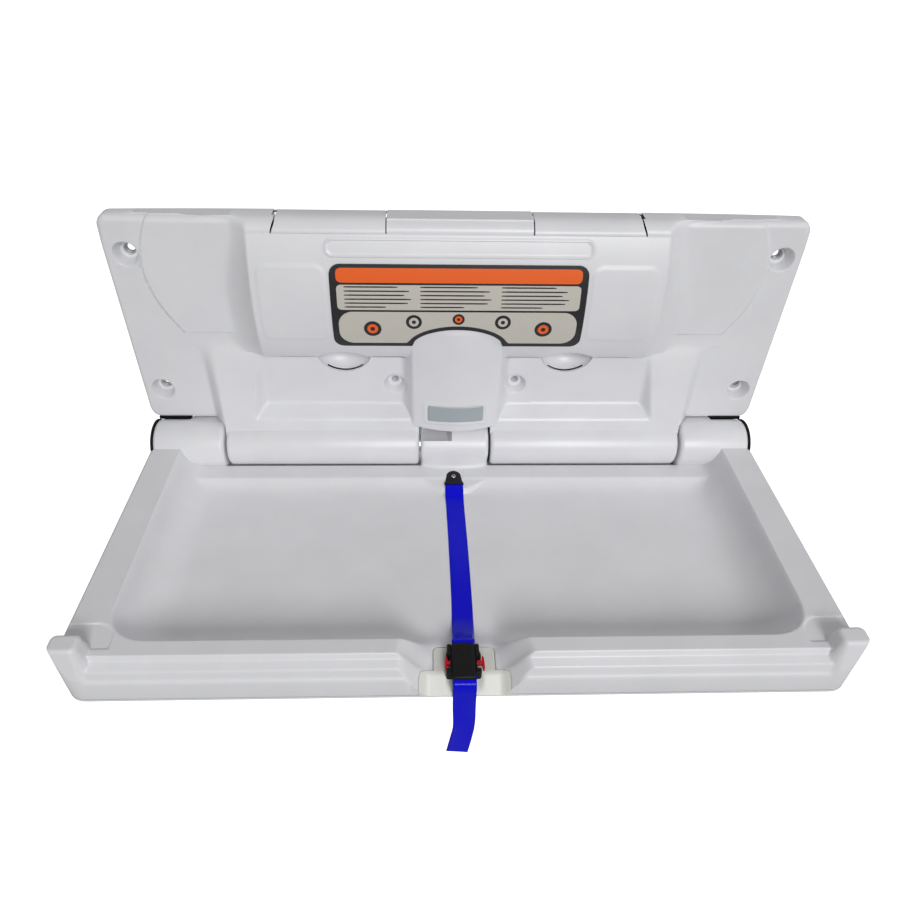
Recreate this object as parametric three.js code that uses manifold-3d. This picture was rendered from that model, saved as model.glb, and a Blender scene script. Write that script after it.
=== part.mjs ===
// Fold-down baby changing station for a wall: a moulded wall unit with a liner dispenser,
// and a tray that hangs on a full-width hinge tube and is held by a strap and a gas damper.
// Millimetres, +Z up, the wall is the plane y = 0 and the tray opens towards -Y.
// The origin is on the wall face, at the middle of the four corner screw holes.
import * as THREE from 'three';
import { mergeVertices } from 'three/addons/utils/BufferGeometryUtils.js';
import Module from 'manifold-3d';

// General
const WALL = 4; // moulded wall
const FIT = 0.3; // gap between touching pieces
const PAST = 1; // how far a cut runs past a face
const ROUND = 24; // sides of a large round
const SMALL_ROUND = 12; // sides of a small round

// Wall panel: heights are above its bottom edge, depths are from the wall
const PANEL_WIDTH = 866;
const PANEL_HEIGHT = 288.5;
const PANEL_CORNER = 14;
const FLANGE_DEPTH = 25;
const FLANGE_BEVEL = 4;
const HOLE_INSET = 26.5; // corner holes in from the panel's ends
const HOLE_SPAN = PANEL_WIDTH - 2 * HOLE_INSET;
const HOLE_RISE = 197.5;
const HOLE_HEIGHT = 43;
const HOLE_RADIUS = 7.5;
const HOLE_SINK_RADIUS = 15.8;
const HOLE_SINK_DEPTH = 16;
const MID_HOLE_X = 84;
const MID_HOLE_HEIGHT = 57;
const MID_HOLE_RADIUS = 5;
const MID_HOLE_SINK_RADIUS = 14.5;
const MID_HOLE_SINK_DEPTH = 12;

// Steel sheet behind the panel
const PLATE_THICKNESS = 3;
const PLATE_MARGIN = 8;
const PLATE_HOLE_RADIUS = 5;
const PANEL_SCREW_INSET = 133; // in from the panel's ends
const PANEL_SCREW_X = PANEL_WIDTH / 2 - PANEL_SCREW_INSET;
const PANEL_SCREW_DROP = 26.5; // upper row below the top edge
const PANEL_SCREW_HEIGHTS = [142, PANEL_HEIGHT - PANEL_SCREW_DROP];
const PANEL_SCREW_RADIUS = 2.1;
const PANEL_SCREW_HEAD = 4.4;
const PANEL_SCREW_LENGTH = 16;

// Dispenser bulge
const BULGE_HALF = 268;
const BULGE_SPLAY = 14; // the sides lean by this much either way
const ROOF_RISE = 4.5; // above the panel's top edge
const BULGE_TOP = PANEL_HEIGHT + ROOF_RISE;
const ROOF_DEPTH = 21; // flat part of the roof
const ROLL_DEPTH = 21;
const ROLL_DROP = 17;
const BELLY_DEPTH = 62;
const BELLY_HEIGHT = 178;
const LIP_DEPTH = 41;
const LIP_HEIGHT = 105;
const BAY_NEAR = 64; // the liner bays run between these distances from the middle
const BAY_FAR = 238;
const BAY_ROOF = 25; // solid roof beside the doors
const SLOT_WIDTH = 6;
const SCOOP_X = 150;
const SCOOP_HALF = 35;
const SCOOP_RISE = 23;
const SCOOP_DEPTH = 11; // into the recess face
const SCOOP_DROP = 5; // middle of the scoop below the lip

// Liner doors on the roof
const DOOR_NEAR = 88;
const DOOR_FAR = 224;
const DOOR_GAP = 0.6;
const DOOR_THICKNESS = 3;
const DOOR_AXIS_DEPTH = 6;
const DOOR_KNUCKLE = 4;
const DOOR_PIN_RADIUS = 1.5;
const DOOR_PIN_HOLD = 6; // length of pin in the panel at each end

// Block below the bulge
const BLOCK_INSET = 111; // end at the hinge line, in from the panel's end
const BLOCK_HALF = PANEL_WIDTH / 2 - BLOCK_INSET;
const BLOCK_SPLAY = 8;
const BLOCK_TOP = 118;
const BLOCK_SHOULDER_HEIGHT = 104;
const RECESS_DEPTH = 31;
const RECESS_HALF = 272;
const RECESS_FLOOR = 26;
const RECESS_STEP_DROP = 15;
const RECESS_STEP_DEPTH = 49;
const CREASE_HEIGHT = -8;
const CREASE_DEPTH = 55;

// Centre column
const COLUMN_HALF = 55;
const COLUMN_FOOT = -3;
const COLUMN_SHOULDER = 128;
const COLUMN_ARCH = 24;
const COLUMN_DEPTH = 63;
const COLUMN_CROWN = 5; // bow of the front in plan
const COLUMN_PLATE_HALF = 39.5;
const COLUMN_PLATE_LOW = 14;
const COLUMN_PLATE_HIGH = 40;
const PLATE_SKIN = 1; // thickness of both fixed plates

// Plate on the bulge
const NOTICE_HALF = 158;
const NOTICE_LOW = 133;
const NOTICE_HIGH = 244;
const NOTICE_NOTCH = 2; // clear of the column all round

// Hinge line
const HINGE_DEPTH = 45;
const HINGE_DROP = 37; // below the panel's bottom edge
const BARREL_RADIUS = 31;
const BARREL_CLEAR = 1.6;
const BARREL_GAP = 3; // between wall and tray barrels, outer ends
const KNUCKLE_HALF = 46.5;
const KNUCKLE_GAP = 4;
const TUBE_RADIUS = 12.7;
const TUBE_WALL = 2;
const BUSH_RADIUS = 15.2;
const BUSH_LENGTH = 30;
const PLUG_FLANGE = 1.4;
const PLUG_DEPTH = 12;
const EAR_THICKNESS = 3.7;
const EAR_RADIUS = 31.5;
const BRACKET_THICKNESS = 3;
const BRACKET_INSET = 88; // inner edge of the back leg, in from the panel's end
const BRACKET_NEAR = PANEL_WIDTH / 2 - BRACKET_INSET;
const BRACKET_LEG = 39; // width of the leg that goes up behind the panel
const BRACKET_TOP = 60;
const BRACKET_FOOT = 31; // below the hinge axis
const BRACKET_REAR_RISE = 8; // ear's rear arm above the hinge axis

// Gas damper in the column
const DAMPER_X = -25;
const CRANK_RADIUS = 25;
const CRANK_ANGLE = Math.PI / 4; // above the rear horizontal at rest, below it when folded
const CRANK_RATE = 0.92; // rod travel per radian, as a share of the crank radius
const CRANK_PIN_RADIUS = 3;
const CRANK_PIN_HOLD = 9; // length of the pin in the knuckle beside the pocket
const YOKE_SLOT_PLAY = 0.8; // above and below the pin
const YOKE_THICKNESS = 8;
const YOKE_WALL = 4;
const YOKE_NECK = 14;
const YOKE_NECK_WALL = 1.4;
const ROD_RADIUS = 4;
const PISTON_RADIUS = 7.6;
const PISTON_LENGTH = 10;
const CYLINDER_RADIUS = 11;
const CYLINDER_BORE = 8;
const CYLINDER_FOOT = 36;
const CYLINDER_LENGTH = 84;
const CYLINDER_END = 8; // thickness of both ends
const EYE_RISE = 12; // pivot pin above the cylinder
const EYE_RADIUS = 7;
const PIVOT_RADIUS = 3;
const PIVOT_ARM = 4; // thickness of the bracket's arms
const PIVOT_PROUD = 1; // pin past each arm
const POCKET_NEAR = -3; // pocket in the knuckle, along the hinge line
const POCKET_FAR = -43.5;
const POCKET_FLOOR = 11.5; // above the hinge axis and behind it

// Tray: distances are from the hinge axis, outwards and up
const TRAY_INSET = 8; // side of the tray, in from the panel's end
const TRAY_HALF = PANEL_WIDTH / 2 - TRAY_INSET;
const TRAY_REACH = 386;
const TRAY_CORNER = 24;
const RIM_RISE = 14;
const PARTING_DROP = 38;
const TRAY_REAR = 15;
const FRONT_TOP_SET = 16; // edge of the rim, back from the front
const FRONT_TOP = TRAY_REACH - FRONT_TOP_SET;
const FRONT_STEP_SET = 4;
const FRONT_STEP = TRAY_REACH - FRONT_STEP_SET;
const FRONT_STEP_RISE = 2;
const FRONT_STEP_HEIGHT = 10;
const FRONT_BEVEL = 4;
const RIM_SIDE = 40; // width of the rim
const RIM_FRONT = 35;
const BASIN_HALF = TRAY_HALF - RIM_SIDE;
const BASIN_FRONT = TRAY_REACH - RIM_FRONT;
const BASIN_CORNER = 44;
const BASIN_SLOPE = 40;
const FLOOR_DROP = 34;
const LEDGE_DROP = 21;
const LEDGE_END = 55;
const LEDGE_SLOPE_END = 75;
const APRON_REACH = 39; // knuckle's foot bulges out to here
const APRON_SIDE = 27;
const APRON_FLARE = 2; // knuckle's face leans out by this much
const SADDLE_DROP = 22; // slope from the knuckle's foot starts this far below the hinge axis
const SADDLE_END = 88; // and ends on the floor here
const SADDLE_HALF = 25;
const HOOK_WIDTH = 40;
const HOOK_THICKNESS = 24;
const HOOK_RISE = 25; // above the rim
const HOOK_ROUND = 14;
const HOOK_LEAN = 8; // foot stands forward of the top
const PAD_RADIUS = 34;
const PAD_DEPTH = 2;
const NOTCH_TOP_HALF = 68;
const NOTCH_HALF = 48;
const COVER_DROP = 15; // below the parting line
const COVER_WALL = 3;
const COVER_SLOPE = 40;
const BOSS_RADIUS = 6;
const BOSS_X = 280;
const BOSS_FRONT = 86; // front row of bosses, back from the tray's front
const BOSS_REACHES = [105, TRAY_REACH - BOSS_FRONT];
const COVER_SCREW_RADIUS = 2;
const COVER_SCREW_HEAD = 4;
const COVER_SCREW_HEAD_HEIGHT = 1.8;
const COVER_SCREW_LENGTH = 9;

// Front insert
const INSERT_NECK_HALF = 30;
const INSERT_FOOT_HALF = 46;
const INSERT_TOP_DROP = 21; // below the hinge axis
const INSERT_SHOULDER = 4; // foot's top below the neck's
const INSERT_LENGTH = 48; // back from the tray's front
const INSERT_REAR = TRAY_REACH - INSERT_LENGTH;
const INSERT_PROUD = 1.5;
const INSERT_ROUND = 6;

// Strap and buckle
const STRAP_WIDTH = 25.4;
const STRAP_THICKNESS = 1.6;
const STRAP_X = 1;
const ANCHOR_GAP = 1; // strap's bracket behind the knuckle's foot
const ANCHOR_LENGTH = 25;
const ANCHOR_WIDTH = 26;
const ANCHOR_THICKNESS = 2.5;
const ANCHOR_SCREW_RADIUS = 2;
const ANCHOR_SCREW_HEAD = 4;
const ANCHOR_SCREW_HEAD_HEIGHT = 1.4;
const ANCHOR_SCREW_LENGTH = 9;
const BUCKLE_SET = 51; // rear end, back from the tray's front
const BUCKLE_REAR = TRAY_REACH - BUCKLE_SET;
const BUCKLE_LENGTH = 43;
const BUCKLE_HALF = 19;
const BUCKLE_HEIGHT = 13;
const BUCKLE_WALL = 2.8;
const TONGUE_HALF = 11.5;
const TONGUE_THICKNESS = 4;
const TONGUE_TAIL = 5; // behind the buckle
const BUTTON_LENGTH = 13;
const BUTTON_HEIGHT = 6;
const BUTTON_REACH = 8; // along its slide
const BUTTON_PROUD = 4.5;
const TAIL_DROP = 143; // strap's free end below the hinge axis

const wasm = await Module();
wasm.setup();
const { Manifold, Mesh } = wasm;

const PANEL_FOOT = -(HOLE_HEIGHT + HOLE_RISE / 2);
const PANEL_BACK = PLATE_THICKNESS + FIT;
const FAR = 1000; // beyond every face, for cuts

const X = new THREE.Vector3(1, 0, 0);
const Y = new THREE.Vector3(0, 1, 0);
const Z = new THREE.Vector3(0, 0, 1);
const TOWARDS_VIEWER = new THREE.Vector3(0, -1, 0);

// A closed geometry as a solid for joining and cutting, without its zero-area triangles.
function solid(geometry) {
  const bare = geometry.index ? geometry.toNonIndexed() : geometry.clone();
  bare.deleteAttribute('normal');
  bare.deleteAttribute('uv');
  const merged = mergeVertices(bare, 1e-3);
  const index = merged.index.array;
  const kept = [];
  for (let i = 0; i < index.length; i += 3) {
    const [a, b, c] = index.slice(i, i + 3);
    if (a !== b && b !== c && c !== a) kept.push(a, b, c);
  }
  return new Manifold(new Mesh({
    numProp: 3,
    vertProperties: merged.attributes.position.array,
    triVerts: new Uint32Array(kept),
  }));
}

const join = (first, ...others) => others.reduce((sum, other) => sum.add(other), first);
const cut = (first, ...others) => others.reduce((rest, other) => rest.subtract(other), first);
const mirror = (piece) => piece.mirror([1, 0, 0]);
const bothSides = (piece) => piece.add(mirror(piece));

const toShape = (points) => new THREE.Shape(points.map(([a, b]) => new THREE.Vector2(a, b)));
const extruded = (shape, depth, bevel = {}) =>
  new THREE.ExtrudeGeometry(shape, { depth, bevelEnabled: false, curveSegments: 3, ...bevel });

// Points of an elliptical arc in a profile.
function arc(centre, radii, from, to, steps) {
  const angles = Array.from({ length: steps + 1 }, (_, i) => from + ((to - from) * i) / steps);
  return angles.map((t) => [centre[0] + radii[0] * Math.cos(t), centre[1] + radii[1] * Math.sin(t)]);
}

// A profile of [outwards, up] points carried along X.
function alongX(profile, from, to) {
  const shape = toShape(profile.map(([out, up]) => [-out, up]));
  const turned = new THREE.Matrix4().makeBasis(Y, Z, X);
  return solid(extruded(shape, to - from).applyMatrix4(turned).translate(from, 0, 0));
}

// A front view of [x, up] points carried outwards from the wall.
function outwards(outline, from, to) {
  const shape = outline instanceof THREE.Shape ? outline : toShape(outline);
  const turned = new THREE.Matrix4().makeBasis(X, Z, TOWARDS_VIEWER);
  return solid(extruded(shape, to - from).applyMatrix4(turned).translate(0, -from, 0));
}

// A plan of [x, outwards] points carried up.
function upwards(plan, from, to, bevel) {
  const shape = plan instanceof THREE.Shape ? plan : toShape(plan.map(([x, out]) => [x, -out]));
  return solid(extruded(shape, to - from, bevel).translate(0, 0, from));
}

function box(low, high) {
  const [x0, out0, up0] = low;
  const [x1, out1, up1] = high;
  const geometry = new THREE.BoxGeometry(x1 - x0, out1 - out0, up1 - up0);
  return solid(geometry.translate((x0 + x1) / 2, -(out0 + out1) / 2, (up0 + up1) / 2));
}

function rodAlongX(radius, from, to, out, up, sides = ROUND) {
  const geometry = new THREE.CylinderGeometry(radius, radius, to - from, sides).rotateZ(Math.PI / 2);
  return solid(geometry.translate((from + to) / 2, -out, up));
}

function rodOutwards(radius, from, to, x, up, sides = SMALL_ROUND) {
  const geometry = new THREE.CylinderGeometry(radius, radius, to - from, sides);
  return solid(geometry.translate(x, -(from + to) / 2, up));
}

// A round piece from [radius, along] points that start and end on its axis, standing along +Z.
function turnedPiece(profile, sides = SMALL_ROUND) {
  const points = profile.map(([radius, along]) => new THREE.Vector2(radius, along));
  return solid(new THREE.LatheGeometry(points, sides).rotateX(Math.PI / 2));
}

function roundedRectangle(x0, y0, x1, y1, radius) {
  const shape = new THREE.Shape();
  shape.moveTo(x0 + radius, y0);
  shape.lineTo(x1 - radius, y0);
  shape.absarc(x1 - radius, y0 + radius, radius, -Math.PI / 2, 0);
  shape.lineTo(x1, y1 - radius);
  shape.absarc(x1 - radius, y1 - radius, radius, 0, Math.PI / 2);
  shape.lineTo(x0 + radius, y1);
  shape.absarc(x0 + radius, y1 - radius, radius, Math.PI / 2, Math.PI);
  shape.lineTo(x0, y0 + radius);
  shape.absarc(x0 + radius, y0 + radius, radius, Math.PI, 1.5 * Math.PI);
  return shape;
}

const station = new THREE.Group();
const wallUnit = new THREE.Group();
wallUnit.position.z = PANEL_FOOT;
const tray = new THREE.Group();
tray.position.set(0, -HINGE_DEPTH, PANEL_FOOT - HINGE_DROP);
station.add(wallUnit, tray);

const FINISHES = {
  moulding: { color: 0xd8d8da, roughness: 0.45, metalness: 0 },
  ivory: { color: 0xdcded7, roughness: 0.45, metalness: 0 },
  greyPlate: { color: 0xa0a8aa, roughness: 0.35, metalness: 0 },
  printed: { color: 0xcdc8be, roughness: 0.35, metalness: 0 },
  steel: { color: 0xb9bcbf, roughness: 0.3, metalness: 1 },
  blackSteel: { color: 0x191919, roughness: 0.5, metalness: 0.4 },
  blackPlastic: { color: 0x191919, roughness: 0.45, metalness: 0 },
  nylon: { color: 0xe6e4dc, roughness: 0.5, metalness: 0 },
  red: { color: 0xc01020, roughness: 0.35, metalness: 0 },
  webbing: { color: 0x2424c4, roughness: 0.4, metalness: 0 },
};

// Adds one named piece to a group.
function piece(group, name, body, finish, position = [0, 0, 0]) {
  const { vertProperties, triVerts } = body.getMesh();
  const geometry = new THREE.BufferGeometry();
  geometry.setAttribute('position', new THREE.BufferAttribute(new Float32Array(vertProperties), 3));
  geometry.setIndex(new THREE.BufferAttribute(new Uint32Array(triVerts), 1));
  geometry.computeVertexNormals();
  const mesh = new THREE.Mesh(geometry, new THREE.MeshStandardMaterial(FINISHES[finish]));
  mesh.name = name;
  mesh.position.set(...position);
  group.add(mesh);
}

// Screw holes: four in the flange's corners, two in the recess
const screwHoles = [
  ...[HOLE_HEIGHT, HOLE_HEIGHT + HOLE_RISE].flatMap((height) =>
    [-HOLE_SPAN / 2, HOLE_SPAN / 2].map((x) => ({
      x, height, face: FLANGE_DEPTH, radius: HOLE_RADIUS,
      sinkRadius: HOLE_SINK_RADIUS, sinkDepth: HOLE_SINK_DEPTH,
    }))),
  ...[-MID_HOLE_X, MID_HOLE_X].map((x) => ({
    x, height: MID_HOLE_HEIGHT, face: RECESS_DEPTH, radius: MID_HOLE_RADIUS,
    sinkRadius: MID_HOLE_SINK_RADIUS, sinkDepth: MID_HOLE_SINK_DEPTH,
  })),
];

const holeBoss = ({ x, height, face, sinkRadius }) =>
  rodOutwards(sinkRadius + WALL, PANEL_BACK, face - FIT, x, height);

// A through hole with a conical sink at the face.
function holeCut({ x, height, face, radius, sinkRadius, sinkDepth }) {
  const slope = (sinkRadius - radius) / sinkDepth;
  const profile = [[0, -PAST], [radius, -PAST], [radius, face - sinkDepth],
    [sinkRadius + PAST * slope, face + PAST], [0, face + PAST]];
  return turnedPiece(profile).rotate([90, 0, 0]).translate([x, 0, height]);
}

const panelScrewPlaces = PANEL_SCREW_HEIGHTS.flatMap((height) =>
  [-PANEL_SCREW_X, PANEL_SCREW_X].map((x) => ({ x, height })));

// Side view of the bulge, thinner by an inset all round the front
function bulgeProfile(inset, foot) {
  const nose = new THREE.Vector2(ROOF_DEPTH + ROLL_DEPTH - inset, BULGE_TOP - ROLL_DROP);
  const belly = new THREE.Vector2(BELLY_DEPTH - inset, BELLY_HEIGHT);
  const lip = new THREE.Vector2(LIP_DEPTH - inset, foot);
  const upper = new THREE.QuadraticBezierCurve(
    nose, new THREE.Vector2(belly.x, (nose.y + belly.y) / 2), belly);
  const lower = new THREE.QuadraticBezierCurve(
    belly, new THREE.Vector2(belly.x, (LIP_HEIGHT * 2 + BELLY_HEIGHT) / 3), lip);
  const roll = arc([ROOF_DEPTH, nose.y], [ROLL_DEPTH - inset, ROLL_DROP - inset], Math.PI / 2, 0, 6);
  return [
    [PANEL_BACK, foot], [PANEL_BACK, BULGE_TOP - inset], ...roll,
    ...upper.getPoints(6).slice(1).map((p) => [p.x, p.y]),
    ...lower.getPoints(6).slice(1).map((p) => [p.x, p.y]),
  ];
}

// Plan that leans both ends of a form that stands out of the flange
const splayedPlan = (half, splay, depth) => [
  [-half - splay, 0], [-half - splay, FLANGE_DEPTH], [-half + splay, depth],
  [half - splay, depth], [half + splay, FLANGE_DEPTH], [half + splay, 0],
];

// Front view of the column with its arched head, grown by a margin
function columnOutline(margin) {
  const half = COLUMN_HALF + margin;
  const head = arc([0, COLUMN_SHOULDER], [half, COLUMN_ARCH + margin], 0, Math.PI, 14);
  return [[-half, COLUMN_FOOT], [half, COLUMN_FOOT], ...head];
}

// Plan of the column's bowed front between two distances from the middle, out by an offset
function columnFront(half, offset) {
  const bow = (COLUMN_HALF ** 2 + COLUMN_CROWN ** 2) / (2 * COLUMN_CROWN);
  const centre = COLUMN_DEPTH - bow;
  const reach = Math.asin(half / bow);
  return arc([0, centre], [bow + offset, bow + offset], Math.PI / 2 + reach, Math.PI / 2 - reach, 10);
}

const column = outwards(columnOutline(0), PANEL_BACK, COLUMN_DEPTH + PAST).intersect(
  upwards([...columnFront(COLUMN_HALF, 0), [COLUMN_HALF, PANEL_BACK], [-COLUMN_HALF, PANEL_BACK]],
    COLUMN_FOOT, BULGE_TOP));

const doorSill = BULGE_TOP - ROLL_DROP - DOOR_GAP;
const slotRear = RECESS_DEPTH + FIT;

function makeWallPanel() {
  const flangeBevel = {
    bevelEnabled: true, bevelThickness: FLANGE_BEVEL, bevelSize: FLANGE_BEVEL,
    bevelOffset: -FLANGE_BEVEL, bevelSegments: 2,
  };
  const outline = roundedRectangle(-PANEL_WIDTH / 2, 0, PANEL_WIDTH / 2, PANEL_HEIGHT, PANEL_CORNER);
  const depth = FLANGE_DEPTH - PANEL_BACK - 2 * FLANGE_BEVEL;
  const turned = new THREE.Matrix4().makeBasis(X, Z, TOWARDS_VIEWER);
  const flange = solid(extruded(outline, depth, flangeBevel)
    .applyMatrix4(turned).translate(0, -PANEL_BACK - FLANGE_BEVEL, 0));

  const bulge = alongX(bulgeProfile(0, LIP_HEIGHT), -PANEL_WIDTH / 2, PANEL_WIDTH / 2).intersect(
    upwards(splayedPlan(BULGE_HALF, BULGE_SPLAY, BELLY_DEPTH), 0, BULGE_TOP + PAST));

  const blockSide = [[PANEL_BACK, PAST], [PANEL_BACK, BLOCK_TOP], [FLANGE_DEPTH, BLOCK_TOP],
    [RECESS_DEPTH, BLOCK_SHOULDER_HEIGHT], [CREASE_DEPTH, CREASE_HEIGHT], [HINGE_DEPTH, -HINGE_DROP],
    [HINGE_DEPTH - BARREL_RADIUS / 2, -HINGE_DROP]];
  const blockFront = BLOCK_HALF + BLOCK_SPLAY;
  const blockPlan = splayedPlan(blockFront + BLOCK_SPLAY / 2, BLOCK_SPLAY / 2, RECESS_DEPTH);
  const blockEnds = [...blockPlan.slice(0, 3), [-blockFront, FAR], [blockFront, FAR], ...blockPlan.slice(3)];
  const recessStep = RECESS_FLOOR - RECESS_STEP_DROP;
  const recessSide = [[RECESS_DEPTH, FAR], [RECESS_DEPTH, RECESS_FLOOR], [RECESS_STEP_DEPTH, recessStep],
    [FAR, recessStep], [FAR, FAR]];
  const block = alongX(blockSide, -PANEL_WIDTH / 2, PANEL_WIDTH / 2)
    .intersect(upwards(blockEnds, 0, FAR).add(box([-BLOCK_HALF, 0, -FAR], [BLOCK_HALF, FAR, PAST])))
    .subtract(alongX(recessSide, -RECESS_HALF, RECESS_HALF));
  const recess = box([-RECESS_HALF, PANEL_BACK, PAST], [RECESS_HALF, RECESS_DEPTH, LIP_HEIGHT + WALL]);
  const knuckleEnd = KNUCKLE_HALF + KNUCKLE_GAP;
  const barrels = bothSides(rodAlongX(BARREL_RADIUS, knuckleEnd, BLOCK_HALF, HINGE_DEPTH, -HINGE_DROP));
  const front = join(flange, bulge, block, recess, column, barrels);

  const bayProfile = bulgeProfile(WALL, LIP_HEIGHT + WALL).map(([out, up]) => [
    out === PANEL_BACK ? 0 : out, up]);
  const bays = alongX(bayProfile, BAY_NEAR, BAY_FAR)
    .subtract(box([0, -PAST, BULGE_TOP - BAY_ROOF], [FAR, FAR, FAR]));
  const doorwell = alongX(bayProfile, DOOR_NEAR - DOOR_GAP, DOOR_FAR + DOOR_GAP);
  const doorway = box([DOOR_NEAR - DOOR_GAP, -PAST, doorSill], [DOOR_FAR + DOOR_GAP, FAR, FAR]);
  const slot = box([BAY_NEAR, slotRear, LIP_HEIGHT - WALL],
    [BAY_FAR, slotRear + SLOT_WIDTH, LIP_HEIGHT + 2 * WALL]);
  const flangeHollow = box([BULGE_HALF + BULGE_SPLAY + WALL, -PAST, WALL],
    [PANEL_WIDTH / 2 - WALL, FLANGE_DEPTH - WALL, PANEL_HEIGHT - WALL]);
  const scoopBack = RECESS_DEPTH - SCOOP_DEPTH - WALL;
  const blockHollow = alongX([[0, WALL], [0, LIP_HEIGHT - 2 * WALL], [scoopBack, LIP_HEIGHT - 2 * WALL],
    [scoopBack, RECESS_FLOOR + WALL], [RECESS_STEP_DEPTH - 2 * WALL, recessStep + WALL],
    [RECESS_STEP_DEPTH - WALL, WALL]], COLUMN_HALF + WALL, BLOCK_HALF - WALL);
  const columnHollow = join(
    box([-COLUMN_HALF + WALL, -PAST, -FAR],
      [COLUMN_HALF - WALL, COLUMN_DEPTH - COLUMN_CROWN - WALL, COLUMN_SHOULDER - WALL]),
    alongX(bayProfile, -COLUMN_HALF + WALL, COLUMN_HALF - WALL)
      .subtract(box([-FAR, -PAST, BULGE_TOP - BAY_ROOF], [FAR, FAR, FAR])));
  const hollowed = cut(front, bothSides(join(bays, doorwell, doorway, slot, flangeHollow, blockHollow)),
    columnHollow, box([-knuckleEnd, -PAST, -FAR], [knuckleEnd, FAR, COLUMN_FOOT]));

  const scoop = solid(new THREE.SphereGeometry(1, SMALL_ROUND, SMALL_ROUND / 2)
    .scale(SCOOP_HALF, SCOOP_DEPTH + SLOT_WIDTH, SCOOP_RISE)
    .translate(SCOOP_X, -RECESS_DEPTH - SLOT_WIDTH, LIP_HEIGHT - SCOOP_DROP));
  const screwBosses = panelScrewPlaces.map(({ x, height }) =>
    rodOutwards(2 * PANEL_SCREW_HEAD, PANEL_BACK, FLANGE_DEPTH - FIT, x, height));
  const screwBores = panelScrewPlaces.map(({ x, height }) =>
    rodOutwards(PANEL_SCREW_RADIUS + FIT, 0, PANEL_SCREW_LENGTH + FIT, x, height));
  const pinBore = rodAlongX(DOOR_PIN_RADIUS + FIT, DOOR_NEAR - DOOR_GAP - DOOR_PIN_HOLD - FIT,
    DOOR_FAR + DOOR_GAP + DOOR_PIN_HOLD + FIT, DOOR_AXIS_DEPTH, doorAxisHeight, SMALL_ROUND);
  const legRoom = box([BRACKET_NEAR - FIT, -PAST, -FAR],
    [BRACKET_NEAR + BRACKET_LEG + FIT, PANEL_BACK + BRACKET_THICKNESS + FIT, BRACKET_TOP + FIT]);
  const tubeBore = rodAlongX(TUBE_RADIUS + FIT, -PANEL_WIDTH, PANEL_WIDTH, HINGE_DEPTH, -HINGE_DROP);
  const bosses = join(...screwHoles.map(holeBoss), ...screwBosses).intersect(front);
  return cut(hollowed.add(bosses), ...screwHoles.map(holeCut), ...screwBores,
    bothSides(join(scoop, pinBore, legRoom)), tubeBore);
}

const doorAxisHeight = BULGE_TOP - DOOR_KNUCKLE;
piece(wallUnit, 'wall_panel', makeWallPanel(), 'moulding');

// Steel sheet behind the panel, with clearance holes and countersinks from the back
function makeBackplate() {
  const half = PANEL_WIDTH / 2 - PLATE_MARGIN;
  const outline = roundedRectangle(-half, PLATE_MARGIN, half, PANEL_HEIGHT - PLATE_MARGIN, PANEL_CORNER);
  const wallHoles = screwHoles.map(({ x, height }) =>
    rodOutwards(PLATE_HOLE_RADIUS, -PAST, PLATE_THICKNESS + PAST, x, height));
  const sinks = panelScrewPlaces.map(({ x, height }) =>
    panelScrew(FIT).rotate([90, 0, 0]).translate([x, 0, height]));
  return cut(outwards(outline, 0, PLATE_THICKNESS), ...wallHoles, ...sinks);
}

// A countersunk screw standing along its axis, grown by a margin
function panelScrew(margin) {
  const head = PANEL_SCREW_HEAD + margin;
  const shank = PANEL_SCREW_RADIUS + margin;
  return turnedPiece([[0, -margin], [head, -margin], [shank, head - shank],
    [shank, PANEL_SCREW_LENGTH], [0, PANEL_SCREW_LENGTH]]);
}

piece(wallUnit, 'wall_backplate', makeBackplate(), 'steel');
panelScrewPlaces.forEach(({ x, height }, i) => {
  piece(wallUnit, `panel_screw_${i + 1}`, panelScrew(0).rotate([90, 0, 0]), 'steel', [x, 0, height]);
});

// Plate that follows the bulge, notched over the column's head
function makeNotice() {
  const face = bulgeProfile(-FIT, LIP_HEIGHT);
  const skin = bulgeProfile(-FIT - PLATE_SKIN, LIP_HEIGHT);
  const band = box([-NOTICE_HALF, 0, NOTICE_LOW], [NOTICE_HALF, FAR, NOTICE_HIGH]);
  const shell = alongX(skin, -NOTICE_HALF, NOTICE_HALF).subtract(alongX(face, -FAR, FAR));
  return shell.intersect(band).subtract(outwards(columnOutline(NOTICE_NOTCH), 0, FAR));
}

piece(wallUnit, 'instruction_plate', makeNotice(), 'printed');

const columnPlatePlan = [...columnFront(COLUMN_PLATE_HALF, FIT + PLATE_SKIN),
  ...columnFront(COLUMN_PLATE_HALF, FIT).reverse()];
piece(wallUnit, 'column_plate', upwards(columnPlatePlan, COLUMN_PLATE_LOW, COLUMN_PLATE_HIGH), 'greyPlate');

// Liner doors: a shell of the roof with a knuckle along its rear edge
function makeDoor() {
  const nose = [ROOF_DEPTH, BULGE_TOP - ROLL_DROP];
  const outer = arc(nose, [ROLL_DEPTH, ROLL_DROP], Math.PI / 2, 0, 6);
  const inner = arc(nose, [ROLL_DEPTH - DOOR_THICKNESS, ROLL_DROP - DOOR_THICKNESS], 0, Math.PI / 2, 6);
  const shell = alongX([[DOOR_AXIS_DEPTH, BULGE_TOP], ...outer, ...inner,
    [DOOR_AXIS_DEPTH, BULGE_TOP - DOOR_THICKNESS]], DOOR_NEAR, DOOR_FAR);
  const knuckle = rodAlongX(DOOR_KNUCKLE, DOOR_NEAR, DOOR_FAR, DOOR_AXIS_DEPTH, doorAxisHeight, SMALL_ROUND);
  const bore = rodAlongX(DOOR_PIN_RADIUS + FIT, 0, FAR, DOOR_AXIS_DEPTH, doorAxisHeight, SMALL_ROUND);
  return shell.add(knuckle).subtract(bore);
}

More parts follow.
